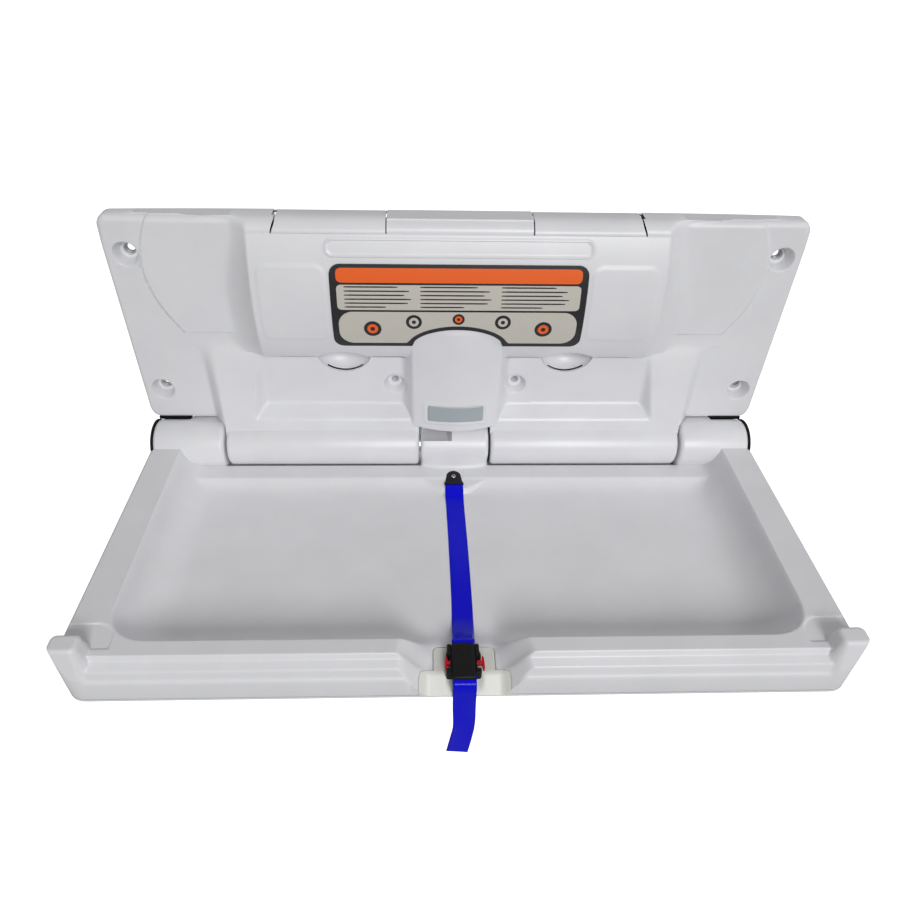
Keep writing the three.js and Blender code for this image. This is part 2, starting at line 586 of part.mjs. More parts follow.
const doorPin = rodAlongX(DOOR_PIN_RADIUS, DOOR_NEAR - DOOR_GAP - DOOR_PIN_HOLD,
  DOOR_FAR + DOOR_GAP + DOOR_PIN_HOLD, DOOR_AXIS_DEPTH, doorAxisHeight, SMALL_ROUND);
const door = makeDoor();
piece(wallUnit, 'liner_door_right', door, 'moulding');
piece(wallUnit, 'liner_door_left', mirror(door), 'moulding');
piece(wallUnit, 'door_pin_right', doorPin, 'steel');
piece(wallUnit, 'door_pin_left', mirror(doorPin), 'steel');

// Hinge tube, its brackets and end plugs
const earInner = TRAY_HALF - EAR_THICKNESS;
const tubeEnd = TRAY_HALF - FIT;
piece(wallUnit, 'hinge_tube',
  rodAlongX(TUBE_RADIUS, -tubeEnd, tubeEnd, HINGE_DEPTH, -HINGE_DROP)
    .subtract(rodAlongX(TUBE_RADIUS - TUBE_WALL, -FAR, FAR, HINGE_DEPTH, -HINGE_DROP)), 'steel');

function makeBracket() {
  const foot = -HINGE_DROP - BRACKET_FOOT;
  const armTop = -HINGE_DROP + BRACKET_REAR_RISE;
  const rear = PANEL_BACK + BRACKET_THICKNESS;
  const leg = box([BRACKET_NEAR, PANEL_BACK, foot], [BRACKET_NEAR + BRACKET_LEG, rear, BRACKET_TOP]);
  const strip = box([BRACKET_NEAR, PANEL_BACK, foot], [TRAY_HALF, rear, -FLANGE_BEVEL]);
  const arm = box([earInner, PANEL_BACK, foot], [TRAY_HALF, HINGE_DEPTH, armTop]);
  const ear = rodAlongX(EAR_RADIUS, earInner, TRAY_HALF, HINGE_DEPTH, -HINGE_DROP);
  return join(leg, strip, arm, ear)
    .subtract(rodAlongX(TUBE_RADIUS + FIT, 0, FAR, HINGE_DEPTH, -HINGE_DROP));
}

const bracket = makeBracket();
piece(wallUnit, 'hinge_bracket_right', bracket, 'blackSteel');
piece(wallUnit, 'hinge_bracket_left', mirror(bracket), 'blackSteel');

const plugEnd = TRAY_HALF + PLUG_FLANGE;
const plug = join(
  rodAlongX(TUBE_RADIUS - TUBE_WALL - FIT, tubeEnd - PLUG_DEPTH, plugEnd, HINGE_DEPTH, -HINGE_DROP),
  rodAlongX(TUBE_RADIUS + WALL, TRAY_HALF + FIT, plugEnd, HINGE_DEPTH, -HINGE_DROP));
piece(wallUnit, 'tube_plug_right', plug, 'blackPlastic');
piece(wallUnit, 'tube_plug_left', mirror(plug), 'blackPlastic');

// Damper: the cylinder hangs from a pivot, and its rod ends in a yoke round the crank pin
const rodDepth = HINGE_DEPTH - (CRANK_RADIUS * (1 + Math.cos(CRANK_ANGLE))) / 2;
const yokeHeight = -HINGE_DROP + CRANK_RATE * CRANK_RADIUS * CRANK_ANGLE;
const damperPlace = [DAMPER_X, -rodDepth, 0];
const cylinderTop = CYLINDER_FOOT + CYLINDER_LENGTH;
const pivotHeight = cylinderTop + EYE_RISE;
const damperBore = rodAlongX(PIVOT_RADIUS + FIT, -FAR, FAR, 0, pivotHeight, SMALL_ROUND);
const cylinderBody = turnedPiece([[ROD_RADIUS + FIT, CYLINDER_FOOT], [CYLINDER_RADIUS, CYLINDER_FOOT],
  [CYLINDER_RADIUS, cylinderTop], [0, cylinderTop], [0, cylinderTop - CYLINDER_END],
  [CYLINDER_BORE, cylinderTop - CYLINDER_END], [CYLINDER_BORE, CYLINDER_FOOT + CYLINDER_END],
  [ROD_RADIUS + FIT, CYLINDER_FOOT + CYLINDER_END], [ROD_RADIUS + FIT, CYLINDER_FOOT]]);
const eye = join(
  rodAlongX(EYE_RADIUS, -PIVOT_ARM, PIVOT_ARM, 0, pivotHeight, SMALL_ROUND),
  box([-PIVOT_ARM, -EYE_RADIUS, cylinderTop - CYLINDER_END / 2], [PIVOT_ARM, EYE_RADIUS, pivotHeight]));
piece(wallUnit, 'damper_cylinder', cylinderBody.add(eye).subtract(damperBore), 'blackSteel', damperPlace);

const armInner = PIVOT_ARM + FIT;
const armOuter = armInner + PIVOT_ARM;
const bracketRear = PANEL_BACK - rodDepth;
const arms = bothSides(box([armInner, bracketRear, pivotHeight - EYE_RADIUS],
  [armOuter, EYE_RADIUS, pivotHeight + EYE_RADIUS]));
const web = box([-armOuter, bracketRear, pivotHeight - EYE_RADIUS],
  [armOuter, bracketRear + PIVOT_ARM, pivotHeight + EYE_RADIUS]);
piece(wallUnit, 'damper_bracket', arms.add(web).subtract(damperBore), 'steel', damperPlace);
const pivotReach = armOuter + PIVOT_PROUD;
const pivotPin = rodAlongX(PIVOT_RADIUS, -pivotReach, pivotReach, 0, pivotHeight, SMALL_ROUND);
piece(wallUnit, 'damper_pivot', pivotPin, 'steel', damperPlace);

const yokeHalfHeight = CRANK_PIN_RADIUS + YOKE_SLOT_PLAY + YOKE_WALL;
const slotReach = (CRANK_RADIUS * (1 - Math.cos(CRANK_ANGLE))) / 2 + CRANK_PIN_RADIUS + FIT;
const rodFoot = yokeHeight + yokeHalfHeight + YOKE_NECK / 2;
const rodHead = cylinderTop - CYLINDER_END - FIT;
piece(wallUnit, 'damper_rod', turnedPiece([[0, rodFoot], [ROD_RADIUS, rodFoot],
  [ROD_RADIUS, rodHead - PISTON_LENGTH], [PISTON_RADIUS, rodHead - PISTON_LENGTH],
  [PISTON_RADIUS, rodHead], [0, rodHead]]), 'steel', damperPlace);

// The yoke is open towards the hinge tube
function makeYoke() {
  const half = YOKE_THICKNESS / 2;
  const inner = HINGE_DEPTH - Math.SQRT2 * POCKET_FLOOR - FIT - rodDepth;
  const neckRadius = ROD_RADIUS + FIT + YOKE_NECK_WALL;
  const plate = box([-half, -slotReach - YOKE_WALL, yokeHeight - yokeHalfHeight],
    [half, inner, yokeHeight + yokeHalfHeight]);
  const neck = turnedPiece([[0, 0], [neckRadius, 0], [neckRadius, YOKE_NECK], [0, YOKE_NECK]])
    .translate([0, 0, yokeHeight + yokeHalfHeight - FIT]);
  const slotHalf = CRANK_PIN_RADIUS + YOKE_SLOT_PLAY;
  const slot = box([-FAR, -slotReach, yokeHeight - slotHalf], [FAR, FAR, yokeHeight + slotHalf]);
  const socket = turnedPiece([[0, rodFoot - FIT], [ROD_RADIUS + FIT, rodFoot - FIT],
    [ROD_RADIUS + FIT, cylinderTop], [0, cylinderTop]]);
  return cut(join(plate, neck), slot, socket);
}

piece(wallUnit, 'damper_yoke', makeYoke(), 'blackSteel', damperPlace);

// Tray shell. Its own frame has the hinge axis at the origin.
const trayPlan = (margin) => {
  const half = TRAY_HALF - margin;
  const front = TRAY_REACH - margin;
  const corner = TRAY_CORNER;
  return [
    [-half, TRAY_REAR + margin],
    ...arc([-half + corner, front - corner], [corner, corner], Math.PI, Math.PI / 2, 5),
    ...arc([half - corner, front - corner], [corner, corner], Math.PI / 2, 0, 5),
    [half, TRAY_REAR + margin],
  ];
};

// The basin as a solid, grown by a margin: rounded sides and front, stepped floor at the rear
function basin(grow) {
  const half = BASIN_HALF + grow;
  const front = BASIN_FRONT + grow;
  const deep = RIM_RISE + FLOOR_DROP;
  const sides = {
    bevelEnabled: true, bevelThickness: deep, bevelSize: BASIN_SLOPE,
    bevelOffset: -BASIN_SLOPE, bevelSegments: 5,
  };
  const plan = roundedRectangle(-half, -front, half, TRAY_REACH, BASIN_CORNER + grow);
  const bowl = upwards(plan, RIM_RISE - grow, RIM_RISE + FAR, sides);
  const ledge = -LEDGE_DROP - grow;
  const floor = -FLOOR_DROP - grow;
  const side = [[-FAR, FAR], [-FAR, ledge], [LEDGE_END, ledge], [LEDGE_SLOPE_END, floor],
    [FAR, floor], [FAR, FAR]];
  return bowl.intersect(alongX(side, -half, half));
}

const stepFoot = FRONT_STEP_RISE - FRONT_STEP_HEIGHT;
const traySide = [[TRAY_REAR, -PARTING_DROP], [TRAY_REAR, RIM_RISE], [FRONT_TOP, RIM_RISE],
  [FRONT_TOP + FRONT_BEVEL, FRONT_STEP_RISE + FRONT_BEVEL], [FRONT_STEP, FRONT_STEP_RISE],
  [FRONT_STEP, stepFoot], [TRAY_REACH, stepFoot - FRONT_BEVEL], [TRAY_REACH, -PARTING_DROP]];
const sideBarrelStart = BLOCK_HALF + BARREL_GAP;
const sideBarrelEnd = earInner - FIT;
const bossPlaces = BOSS_REACHES.flatMap((reach) => [-BOSS_X, 0, BOSS_X].map((x) => ({ x, reach })));
const coverFloor = -PARTING_DROP - COVER_DROP;
const saddleAngle = Math.atan2(FLOOR_DROP - SADDLE_DROP, SADDLE_END - APRON_REACH);
const crankPlace = [-CRANK_RADIUS * Math.cos(CRANK_ANGLE), CRANK_RADIUS * Math.sin(CRANK_ANGLE)];

// Corner post with the bag hook as its head
function makeHook() {
  const inner = TRAY_HALF - HOOK_WIDTH;
  const top = RIM_RISE + HOOK_RISE;
  const front = roundedRectangle(inner, -PARTING_DROP, TRAY_HALF, top, HOOK_ROUND);
  const foot = [[inner, -PARTING_DROP], [TRAY_HALF, -PARTING_DROP], [TRAY_HALF, 0], [inner, 0]];
  const face = outwards(front, 0, FAR).add(outwards(foot, 0, FAR));
  const headFront = TRAY_REACH - HOOK_LEAN;
  const side = [[headFront - HOOK_THICKNESS, 0], [headFront - HOOK_THICKNESS, top], [headFront, top],
    [TRAY_REACH, 0], [TRAY_REACH, -PARTING_DROP], [TRAY_REACH - HOOK_THICKNESS, -PARTING_DROP]];
  return face.intersect(alongX(side, 0, FAR)).intersect(upwards(trayPlan(0), -FAR, FAR));
}

function makeTrayTop() {
  const body = alongX(traySide, -TRAY_HALF, TRAY_HALF).intersect(upwards(trayPlan(0), -FAR, FAR));
  const barrelRoom = rodAlongX(BARREL_RADIUS + BARREL_CLEAR, -sideBarrelStart, sideBarrelStart, 0, 0);
  const earRoom = bothSides(rodAlongX(EAR_RADIUS + BARREL_CLEAR, sideBarrelEnd, FAR, 0, 0));
  const rearRoom = box([-sideBarrelStart, -FAR, -LEDGE_DROP], [sideBarrelStart, LEDGE_END, FAR]);

  const rimHollow = upwards(trayPlan(WALL), -FAR, RIM_RISE - WALL)
    .intersect(alongX([[LEDGE_SLOPE_END, -FAR], [LEDGE_SLOPE_END, FAR], [FRONT_TOP - WALL, FAR],
      [FRONT_TOP - WALL, FRONT_STEP_RISE - WALL], [TRAY_REACH - 2 * WALL, stepFoot - 2 * WALL],
      [TRAY_REACH - WALL, -FAR]], -FAR, FAR))
    .subtract(basin(WALL))
    .subtract(box([-NOTCH_TOP_HALF - 2 * WALL, -FAR, -FAR], [NOTCH_TOP_HALF + 2 * WALL, FAR, FAR]));

  const apronSide = [[0, 0], [BARREL_RADIUS, 0], [BARREL_RADIUS + APRON_FLARE, -LEDGE_DROP + FIT],
    [APRON_REACH, -SADDLE_DROP], [APRON_REACH, -PARTING_DROP], [0, -PARTING_DROP]];
  const apronBow = arc([0, APRON_SIDE], [KNUCKLE_HALF, APRON_REACH - APRON_SIDE], Math.PI, 0, 10);
  const apron = alongX(apronSide, -KNUCKLE_HALF, KNUCKLE_HALF)
    .intersect(upwards([[-KNUCKLE_HALF, 0], ...apronBow, [KNUCKLE_HALF, 0]], -FAR, FAR));
  const saddlePlan = upwards([[-KNUCKLE_HALF, APRON_SIDE], [-SADDLE_HALF, SADDLE_END],
    [SADDLE_HALF, SADDLE_END], [KNUCKLE_HALF, APRON_SIDE]], -FAR, FAR);
  const saddleLine = [[APRON_SIDE, -SADDLE_DROP], [APRON_REACH, -SADDLE_DROP], [SADDLE_END, -FLOOR_DROP]];
  const saddle = saddlePlan.intersect(
    alongX([...saddleLine, [SADDLE_END, -PARTING_DROP], [APRON_SIDE, -PARTING_DROP]], -FAR, FAR));
  const saddleRoom = saddlePlan.intersect(
    alongX([...saddleLine, [SADDLE_END, FAR], [APRON_SIDE, FAR]], -FAR, FAR));
  const knuckle = rodAlongX(BARREL_RADIUS, -KNUCKLE_HALF, KNUCKLE_HALF, 0, 0);
  const sideBarrels = bothSides(rodAlongX(BARREL_RADIUS, sideBarrelStart, sideBarrelEnd, 0, 0));

  const notchOutline = [[-NOTCH_TOP_HALF, RIM_RISE + PAST], [-NOTCH_HALF, -INSERT_TOP_DROP],
    [-NOTCH_HALF, -FAR], [NOTCH_HALF, -FAR], [NOTCH_HALF, -INSERT_TOP_DROP],
    [NOTCH_TOP_HALF, RIM_RISE + PAST]];
  const notch = outwards(notchOutline, INSERT_REAR - FIT, FAR);
  const pad = solid(new THREE.CylinderGeometry(PAD_RADIUS, PAD_RADIUS, FAR, ROUND).rotateX(Math.PI / 2)
    .translate(TRAY_HALF - HOOK_WIDTH / 2, -TRAY_REACH + HOOK_LEAN + HOOK_THICKNESS,
      RIM_RISE - PAD_DEPTH + FAR / 2));
  const bosses = bossPlaces.map(({ x, reach }) =>
    turnedPiece([[0, coverFloor + COVER_WALL + FIT], [BOSS_RADIUS, coverFloor + COVER_WALL + FIT],
      [BOSS_RADIUS, -FLOOR_DROP - WALL / 2], [0, -FLOOR_DROP - WALL / 2]]).translate([x, -reach, 0]));
  const bossBores = bossPlaces.map(({ x, reach }) => coverScrew(FIT).translate([x, -reach, coverFloor]));

  const shell = cut(body, barrelRoom, basin(0), rearRoom, rimHollow, bothSides(pad), notch, saddleRoom);
  const whole = join(shell, saddle, sideBarrels, knuckle, apron, bothSides(makeHook()), ...bosses);
  const pocket = box([POCKET_FAR, -FAR, POCKET_FLOOR], [POCKET_NEAR, FAR, FAR]);
  const pocketRear = box([POCKET_FAR, -FAR, -FAR], [POCKET_NEAR, -POCKET_FLOOR, FAR]);
  const pocketReach = rodAlongX(BARREL_RADIUS + WALL, POCKET_FAR, POCKET_NEAR, 0, 0);
  const bore = rodAlongX(BUSH_RADIUS + FIT, -FAR, FAR, 0, 0);
  const pinBore = rodAlongX(CRANK_PIN_RADIUS + FIT, -FAR, POCKET_NEAR + CRANK_PIN_HOLD + FIT,
    ...crankPlace, SMALL_ROUND);
  const crankRoom = pocket.add(pocketRear).intersect(pocketReach);
  return cut(whole, crankRoom, bore, earRoom, pinBore, anchorScrew(FIT), ...bossBores);
}

// A pan-head screw from below, grown by a margin
function coverScrew(margin) {
  const head = -COVER_SCREW_HEAD_HEIGHT;
  const shank = COVER_SCREW_RADIUS + margin;
  return turnedPiece([[0, head - margin], [COVER_SCREW_HEAD, head - margin], [COVER_SCREW_HEAD, -FIT],
    [shank, -FIT], [shank, COVER_SCREW_LENGTH + margin], [0, COVER_SCREW_LENGTH + margin]]);
}

// Strap bracket and its screw are made flat, then laid on the saddle's slope
const onSaddle = (flat) => flat.rotate([(saddleAngle * 180) / Math.PI, 0, 0])
  .translate([STRAP_X, -APRON_REACH, -SADDLE_DROP]);

function anchorScrew(margin) {
  const shank = ANCHOR_SCREW_RADIUS + margin;
  const seat = ANCHOR_THICKNESS + 2 * FIT;
  const tip = seat - ANCHOR_SCREW_LENGTH - margin;
  const crown = seat + ANCHOR_SCREW_HEAD_HEIGHT;
  const screw = turnedPiece([[0, tip], [shank, tip], [shank, seat], [ANCHOR_SCREW_HEAD, seat],
    [ANCHOR_SCREW_HEAD / 2, crown], [0, crown]]);
  return onSaddle(screw.translate([0, -ANCHOR_GAP - ANCHOR_WIDTH / 2, 0]));
}

piece(tray, 'tray_top', makeTrayTop(), 'moulding');

// Underside cover and its screws
function makeCover() {
  const side = (inset) => {
    const floor = coverFloor + inset;
    const top = -PARTING_DROP - (inset ? -PAST : FIT);
    const skirt = -PARTING_DROP - WALL;
    return [[TRAY_REAR + inset, top], [TRAY_REAR + inset, skirt], [TRAY_REAR + COVER_SLOPE, floor],
      [TRAY_REACH - COVER_SLOPE, floor], [TRAY_REACH - inset, skirt], [TRAY_REACH - inset, top]];
  };
  const dish = (inset) => alongX(side(inset), -FAR, FAR).intersect(upwards(trayPlan(inset), -FAR, FAR));
  const holes = bossPlaces.map(({ x, reach }) => coverScrew(FIT).translate([x, -reach, coverFloor]));
  return cut(dish(0), dish(COVER_WALL), ...holes);
}

piece(tray, 'tray_cover', makeCover(), 'moulding');
bossPlaces.forEach(({ x, reach }, i) => {
  piece(tray, `cover_screw_${i + 1}`, coverScrew(0), 'steel', [x, -reach, coverFloor]);
});

// Bushes between the tube and the tray's barrels
const bush = rodAlongX(BUSH_RADIUS, 0, BUSH_LENGTH, 0, 0)
  .subtract(rodAlongX(TUBE_RADIUS + FIT, -FAR, FAR, 0, 0));
piece(tray, 'tray_bush_right', bush, 'nylon', [sideBarrelEnd - BUSH_LENGTH, 0, 0]);
piece(tray, 'tray_bush_left', bush, 'nylon', [-sideBarrelEnd, 0, 0]);
piece(tray, 'knuckle_bush_right', bush, 'nylon', [KNUCKLE_HALF - BUSH_LENGTH, 0, 0]);
piece(tray, 'knuckle_bush_left', bush, 'nylon', [-KNUCKLE_HALF, 0, 0]);

const crankPin = rodAlongX(CRANK_PIN_RADIUS, -KNUCKLE_HALF + FIT, POCKET_NEAR + CRANK_PIN_HOLD,
  ...crankPlace, SMALL_ROUND);
piece(tray, 'crank_pin', crankPin, 'steel');

// Insert in the front notch: a neck under the buckle and a wide foot on the front
function makeInsert() {
  const foot = roundedRectangle(-INSERT_FOOT_HALF, -PARTING_DROP, INSERT_FOOT_HALF,
    -INSERT_TOP_DROP - INSERT_SHOULDER, INSERT_ROUND);
  const neck = [[-INSERT_NECK_HALF, -PARTING_DROP], [INSERT_NECK_HALF, -PARTING_DROP],
    [INSERT_NECK_HALF, -INSERT_TOP_DROP], [-INSERT_NECK_HALF, -INSERT_TOP_DROP]];
  const front = TRAY_REACH + INSERT_PROUD;
  const blank = outwards(neck, INSERT_REAR, front).add(outwards(foot, FRONT_TOP, front));
  const hollow = box([-INSERT_NECK_HALF + WALL, INSERT_REAR + WALL, -FAR],
    [INSERT_NECK_HALF - WALL, front - WALL, -INSERT_TOP_DROP - WALL]);
  return blank.subtract(hollow);
}

piece(tray, 'front_insert', makeInsert(), 'ivory');

// Strap bracket: a plate with a round rear end
function makeAnchor() {
  const half = ANCHOR_WIDTH / 2;
  const rear = ANCHOR_GAP;
  const plan = [...arc([0, rear + half], [half, half], 2 * Math.PI, Math.PI, 10),
    [-half, rear + ANCHOR_LENGTH], [half, rear + ANCHOR_LENGTH]];
  return cut(onSaddle(upwards(plan, FIT, FIT + ANCHOR_THICKNESS)), anchorScrew(FIT));
}

piece(tray, 'strap_bracket', makeAnchor(), 'blackPlastic');
piece(tray, 'strap_screw', anchorScrew(0), 'steel');

// Webbing: a band of even thickness along [outwards, up] points
function ribbon(points, width) {
  const half = STRAP_THICKNESS / 2;
  const offset = (side) => points.map(([out, up], i) => {
    const [out0, up0] = points[Math.max(i - 1, 0)];
    const [out1, up1] = points[Math.min(i + 1, points.length - 1)];
    const length = Math.hypot(out1 - out0, up1 - up0);
    return [out - (side * half * (up1 - up0)) / length, up + (side * half * (out1 - out0)) / length];
  });
  return alongX([...offset(1), ...offset(-1).reverse()], STRAP_X - width / 2, STRAP_X + width / 2);
}

const strapLift = STRAP_THICKNESS / 2 + FIT;
const anchorEnd = APRON_REACH + (ANCHOR_GAP + ANCHOR_LENGTH) * Math.cos(saddleAngle) + 2 * FIT;
const saddleAt = (reach) => -SADDLE_DROP - Math.tan(saddleAngle) * (reach - APRON_REACH);
const buckleFoot = -INSERT_TOP_DROP + FIT;
const webbingLevel = buckleFoot + BUCKLE_HEIGHT / 2;
const tongueRear = BUCKLE_REAR - TONGUE_TAIL;
piece(tray, 'strap', ribbon([
  [anchorEnd, saddleAt(anchorEnd) + strapLift + FIT], [SADDLE_END, -FLOOR_DROP + strapLift + FIT],
  [SADDLE_END + 12, -FLOOR_DROP + strapLift], [BASIN_FRONT - 50, -FLOOR_DROP + strapLift],
  [BASIN_FRONT - 38, -FLOOR_DROP + strapLift + 4], [tongueRear - 10, webbingLevel - 3],
  [tongueRear - 5, webbingLevel], [tongueRear - FIT, webbingLevel],
], STRAP_WIDTH), 'webbing');

const buckleFront = BUCKLE_REAR + BUCKLE_LENGTH;
const tailOut = TRAY_REACH + INSERT_PROUD + strapLift + FIT;
piece(tray, 'strap_tail', ribbon([
  [buckleFront + FIT, webbingLevel - 2], [tailOut - 2, webbingLevel - 3], [tailOut + 2, webbingLevel - 8],
  [tailOut + 2, -PARTING_DROP - 10], [tailOut + 4, -PARTING_DROP - 40], [tailOut, -TAIL_DROP + 30],
  [tailOut + 6, -TAIL_DROP],
], STRAP_WIDTH), 'webbing');

// Buckle: an open-ended housing with a window for a button in each side
const buckleMiddle = BUCKLE_REAR + BUCKLE_LENGTH / 2;
const buttonFoot = webbingLevel - BUTTON_HEIGHT / 2;
function makeBuckleBody() {
  const plan = roundedRectangle(-BUCKLE_HALF, -buckleFront, BUCKLE_HALF, -BUCKLE_REAR, BUCKLE_WALL);
  const inner = BUCKLE_HALF - BUCKLE_WALL;
  const room = box([-inner, BUCKLE_REAR - PAST, buckleFoot + BUCKLE_WALL],
    [inner, buckleFront - BUCKLE_WALL, buckleFoot + BUCKLE_HEIGHT - BUCKLE_WALL]);
  const window = box([-FAR, buckleMiddle - BUTTON_LENGTH / 2 - FIT, buttonFoot - FIT],
    [FAR, buckleMiddle + BUTTON_LENGTH / 2 + FIT, buttonFoot + BUTTON_HEIGHT + FIT]);
  return cut(upwards(plan, buckleFoot, buckleFoot + BUCKLE_HEIGHT), room, window).translate([STRAP_X, 0, 0]);
}

piece(tray, 'buckle_body', makeBuckleBody(), 'blackPlastic');
const tongueFoot = webbingLevel - TONGUE_THICKNESS / 2;
piece(tray, 'buckle_tongue', box([STRAP_X - TONGUE_HALF, tongueRear, tongueFoot],
  [STRAP_X + TONGUE_HALF, buckleFront - BUCKLE_WALL - FIT, tongueFoot + TONGUE_THICKNESS]), 'blackPlastic');

const buttonOuter = BUCKLE_HALF + BUTTON_PROUD;
const button = box([buttonOuter - BUTTON_REACH, buckleMiddle - BUTTON_LENGTH / 2, buttonFoot],
  [buttonOuter, buckleMiddle + BUTTON_LENGTH / 2, buttonFoot + BUTTON_HEIGHT]);
piece(tray, 'buckle_button_right', button, 'red', [STRAP_X, 0, 0]);
piece(tray, 'buckle_button_left', mirror(button), 'red', [STRAP_X, 0, 0]);

export default station;
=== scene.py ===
import bmesh
import bpy
import numpy as np
from mathutils import Matrix


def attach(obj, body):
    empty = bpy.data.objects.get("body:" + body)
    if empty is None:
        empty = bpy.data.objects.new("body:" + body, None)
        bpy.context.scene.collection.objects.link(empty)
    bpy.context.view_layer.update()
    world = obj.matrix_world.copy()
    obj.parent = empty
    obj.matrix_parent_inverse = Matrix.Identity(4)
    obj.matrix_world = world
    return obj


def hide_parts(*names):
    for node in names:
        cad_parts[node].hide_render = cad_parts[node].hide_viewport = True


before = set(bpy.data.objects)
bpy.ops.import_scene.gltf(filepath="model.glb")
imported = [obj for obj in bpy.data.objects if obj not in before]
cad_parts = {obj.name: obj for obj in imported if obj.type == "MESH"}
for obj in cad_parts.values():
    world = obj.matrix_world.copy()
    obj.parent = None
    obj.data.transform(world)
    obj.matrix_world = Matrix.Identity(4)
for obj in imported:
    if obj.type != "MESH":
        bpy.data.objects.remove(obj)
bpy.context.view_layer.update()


# Camera: a wide lens above the tray, looking down at the wall unit.
# Its place and turns come from the panel's corners, the tray and the webbing.
def turn(axis, degrees):
    """Rotation matrix about one of the axes 0, 1, 2 by an angle."""
    c, s = np.cos(np.radians(degrees)), np.sin(np.radians(degrees))
    i, j = [(1, 2), (2, 0), (0, 1)][axis]
    m = np.eye(3)
    m[i, i] = m[j, j] = c
    m[i, j], m[j, i] = -s, s
    return m


aim = turn(2, -2.627) @ turn(0, -39.128) @ turn(1, -1.594)
camera = bpy.data.objects.new("camera", bpy.data.cameras.new("camera"))
camera.data.lens = 28.304
camera.data.sensor_width = 36
place = np.eye(4)
place[:3, :3] = np.stack([aim[:, 0], aim[:, 2], -aim[:, 1]], 1)
place[:3, 3] = (-0.042529, -0.853513, 0.465935)
camera.matrix_world = Matrix(place.tolist())
bpy.context.collection.objects.link(camera)
bpy.context.scene.camera = camera


# Studio: a pale seamless floor well below the hung station, a large key light behind the camera,
# a weaker one high on the right and an even white surround.
def srgb(code):
    """Linear colour of an sRGB hex code: ((c + 0.055) / 1.055) to the power 2.4 above 0.04045."""
    c = np.array([int(code[i:i + 2], 16) for i in (0, 2, 4)]) / 255
    c = np.where(c > 0.04045, ((c + 0.055) / 1.055) ** 2.4, c / 12.92)
    return (*c.tolist(), 1.0)


def add(tree, kind, links=None, **settings):
    """Adds a shader node with its settings, and links or sets its inputs."""
    made = tree.nodes.new("ShaderNode" + kind)
    for name, value in settings.items():
        setattr(made, name, value)
    for socket, source in (links or {}).items():
        if isinstance(source, bpy.types.NodeSocket):
            tree.links.new(source, made.inputs[socket])
        else:
            made.inputs[socket].default_value = source
    return made


def finish(name, links):
    """A material of one principled shader, whose inputs are set or linked by a function of its tree."""
    material = bpy.data.materials.new(name)
    material.use_nodes = True
    tree = material.node_tree
    tree.nodes.clear()
    shader = add(tree, "BsdfPrincipled", links(tree))
    add(tree, "OutputMaterial", {"Surface": shader.outputs[0]})
    return material


floor_mesh = bpy.data.meshes.new("floor")
STUDIO_HALF, STUDIO_FLOOR = 80, -1.1
corners = [(x * STUDIO_HALF, y * STUDIO_HALF, STUDIO_FLOOR) for x, y in ((-1, -1), (1, -1), (1, 1), (-1, 1))]
floor_mesh.from_pydata(corners, [], [(0, 1, 2, 3)])
floor = bpy.data.objects.new("floor", floor_mesh)
bpy.context.collection.objects.link(floor)
floor.visible_diffuse = floor.visible_glossy = False
floor_mesh.materials.append(finish("pale_studio_floor", lambda tree: {
    "Base Color": srgb("fafafa"), "Roughness": 0.9, "Specular IOR Level": 0.1,
    "Emission Color": srgb("ffffff"), "Emission Strength": 0.8}))

world = bpy.data.worlds.new("surround")
bpy.context.scene.world = world
world.use_nodes = True
world.node_tree.nodes["Background"].inputs["Color"].default_value = srgb("ffffff")
world.node_tree.nodes["Background"].inputs["Strength"].default_value = 0.285


def lamp(name, place, target, size, watts):
    """A square soft light at a place, turned towards a target."""
    light = bpy.data.lights.new(name, "AREA")
    light.shape, light.size, light.energy = "SQUARE", size, watts
    made = bpy.data.objects.new(name, light)
    back = np.subtract(place, target) / np.linalg.norm(np.subtract(place, target))
    right = np.cross((0, 0, 1), back)
    right /= np.linalg.norm(right)
    matrix = np.eye(4)
    matrix[:3, :3] = np.stack([right, np.cross(back, right), back], 1)
    matrix[:3, 3] = place
    made.matrix_world = Matrix(matrix.tolist())
    bpy.context.collection.objects.link(made)


lamp("key", (1.6, -7.8, 4.6), (0, -0.15, -0.05), 3.4, 470)
lamp("side", (6.0, -1.0, 5.2), (0, -0.15, -0.05), 3.0, 60)
bpy.context.scene.view_settings.view_transform = "Standard"


# Wall panel: one light grey moulding in polyethylene with a finely grained skin.
# Flange, liner dispenser, hinge block, column and both wall barrels are one piece on the steel sheet.
def sheet_faces(rows, columns, wrap_rows=False, wrap_columns=False):
    """Four-sided faces of a grid of points, row by row, closed in either direction on demand."""
    i, j = np.meshgrid(np.arange(rows if wrap_rows else rows - 1),
                       np.arange(columns if wrap_columns else columns - 1), indexing="ij")
    i2, j2 = (i + 1) % rows, (j + 1) % columns
    corners = [i * columns + j, i * columns + j2, i2 * columns + j2, i2 * columns + j]
    return np.stack(corners, -1).reshape(-1, 4)


def ease(t):
    """Smooth step: 3t^2 - 2t^3 of t held between 0 and 1."""
    t = np.clip(t, 0, 1)
    return t * t * (3 - 2 * t)


def soft_max(a, b, k):
    """The larger of two heights, with a fillet about k wide where they cross."""
    m = np.clip(0.5 + 0.5 * (a - b) / k, 0, 1)
    return b * (1 - m) + a * m + k * m * (1 - m)


def soft_min(a, b, k):
    """The smaller of two heights, with a rounded edge about k wide where they cross."""
    return -soft_max(-a, -b, k)


def rounded(t, radius):
    """How far an edge of that radius has fallen at a distance t inside it: a quarter circle."""
    t = np.clip(t, 0, radius)
    return radius - np.sqrt(radius ** 2 - (radius - t) ** 2)


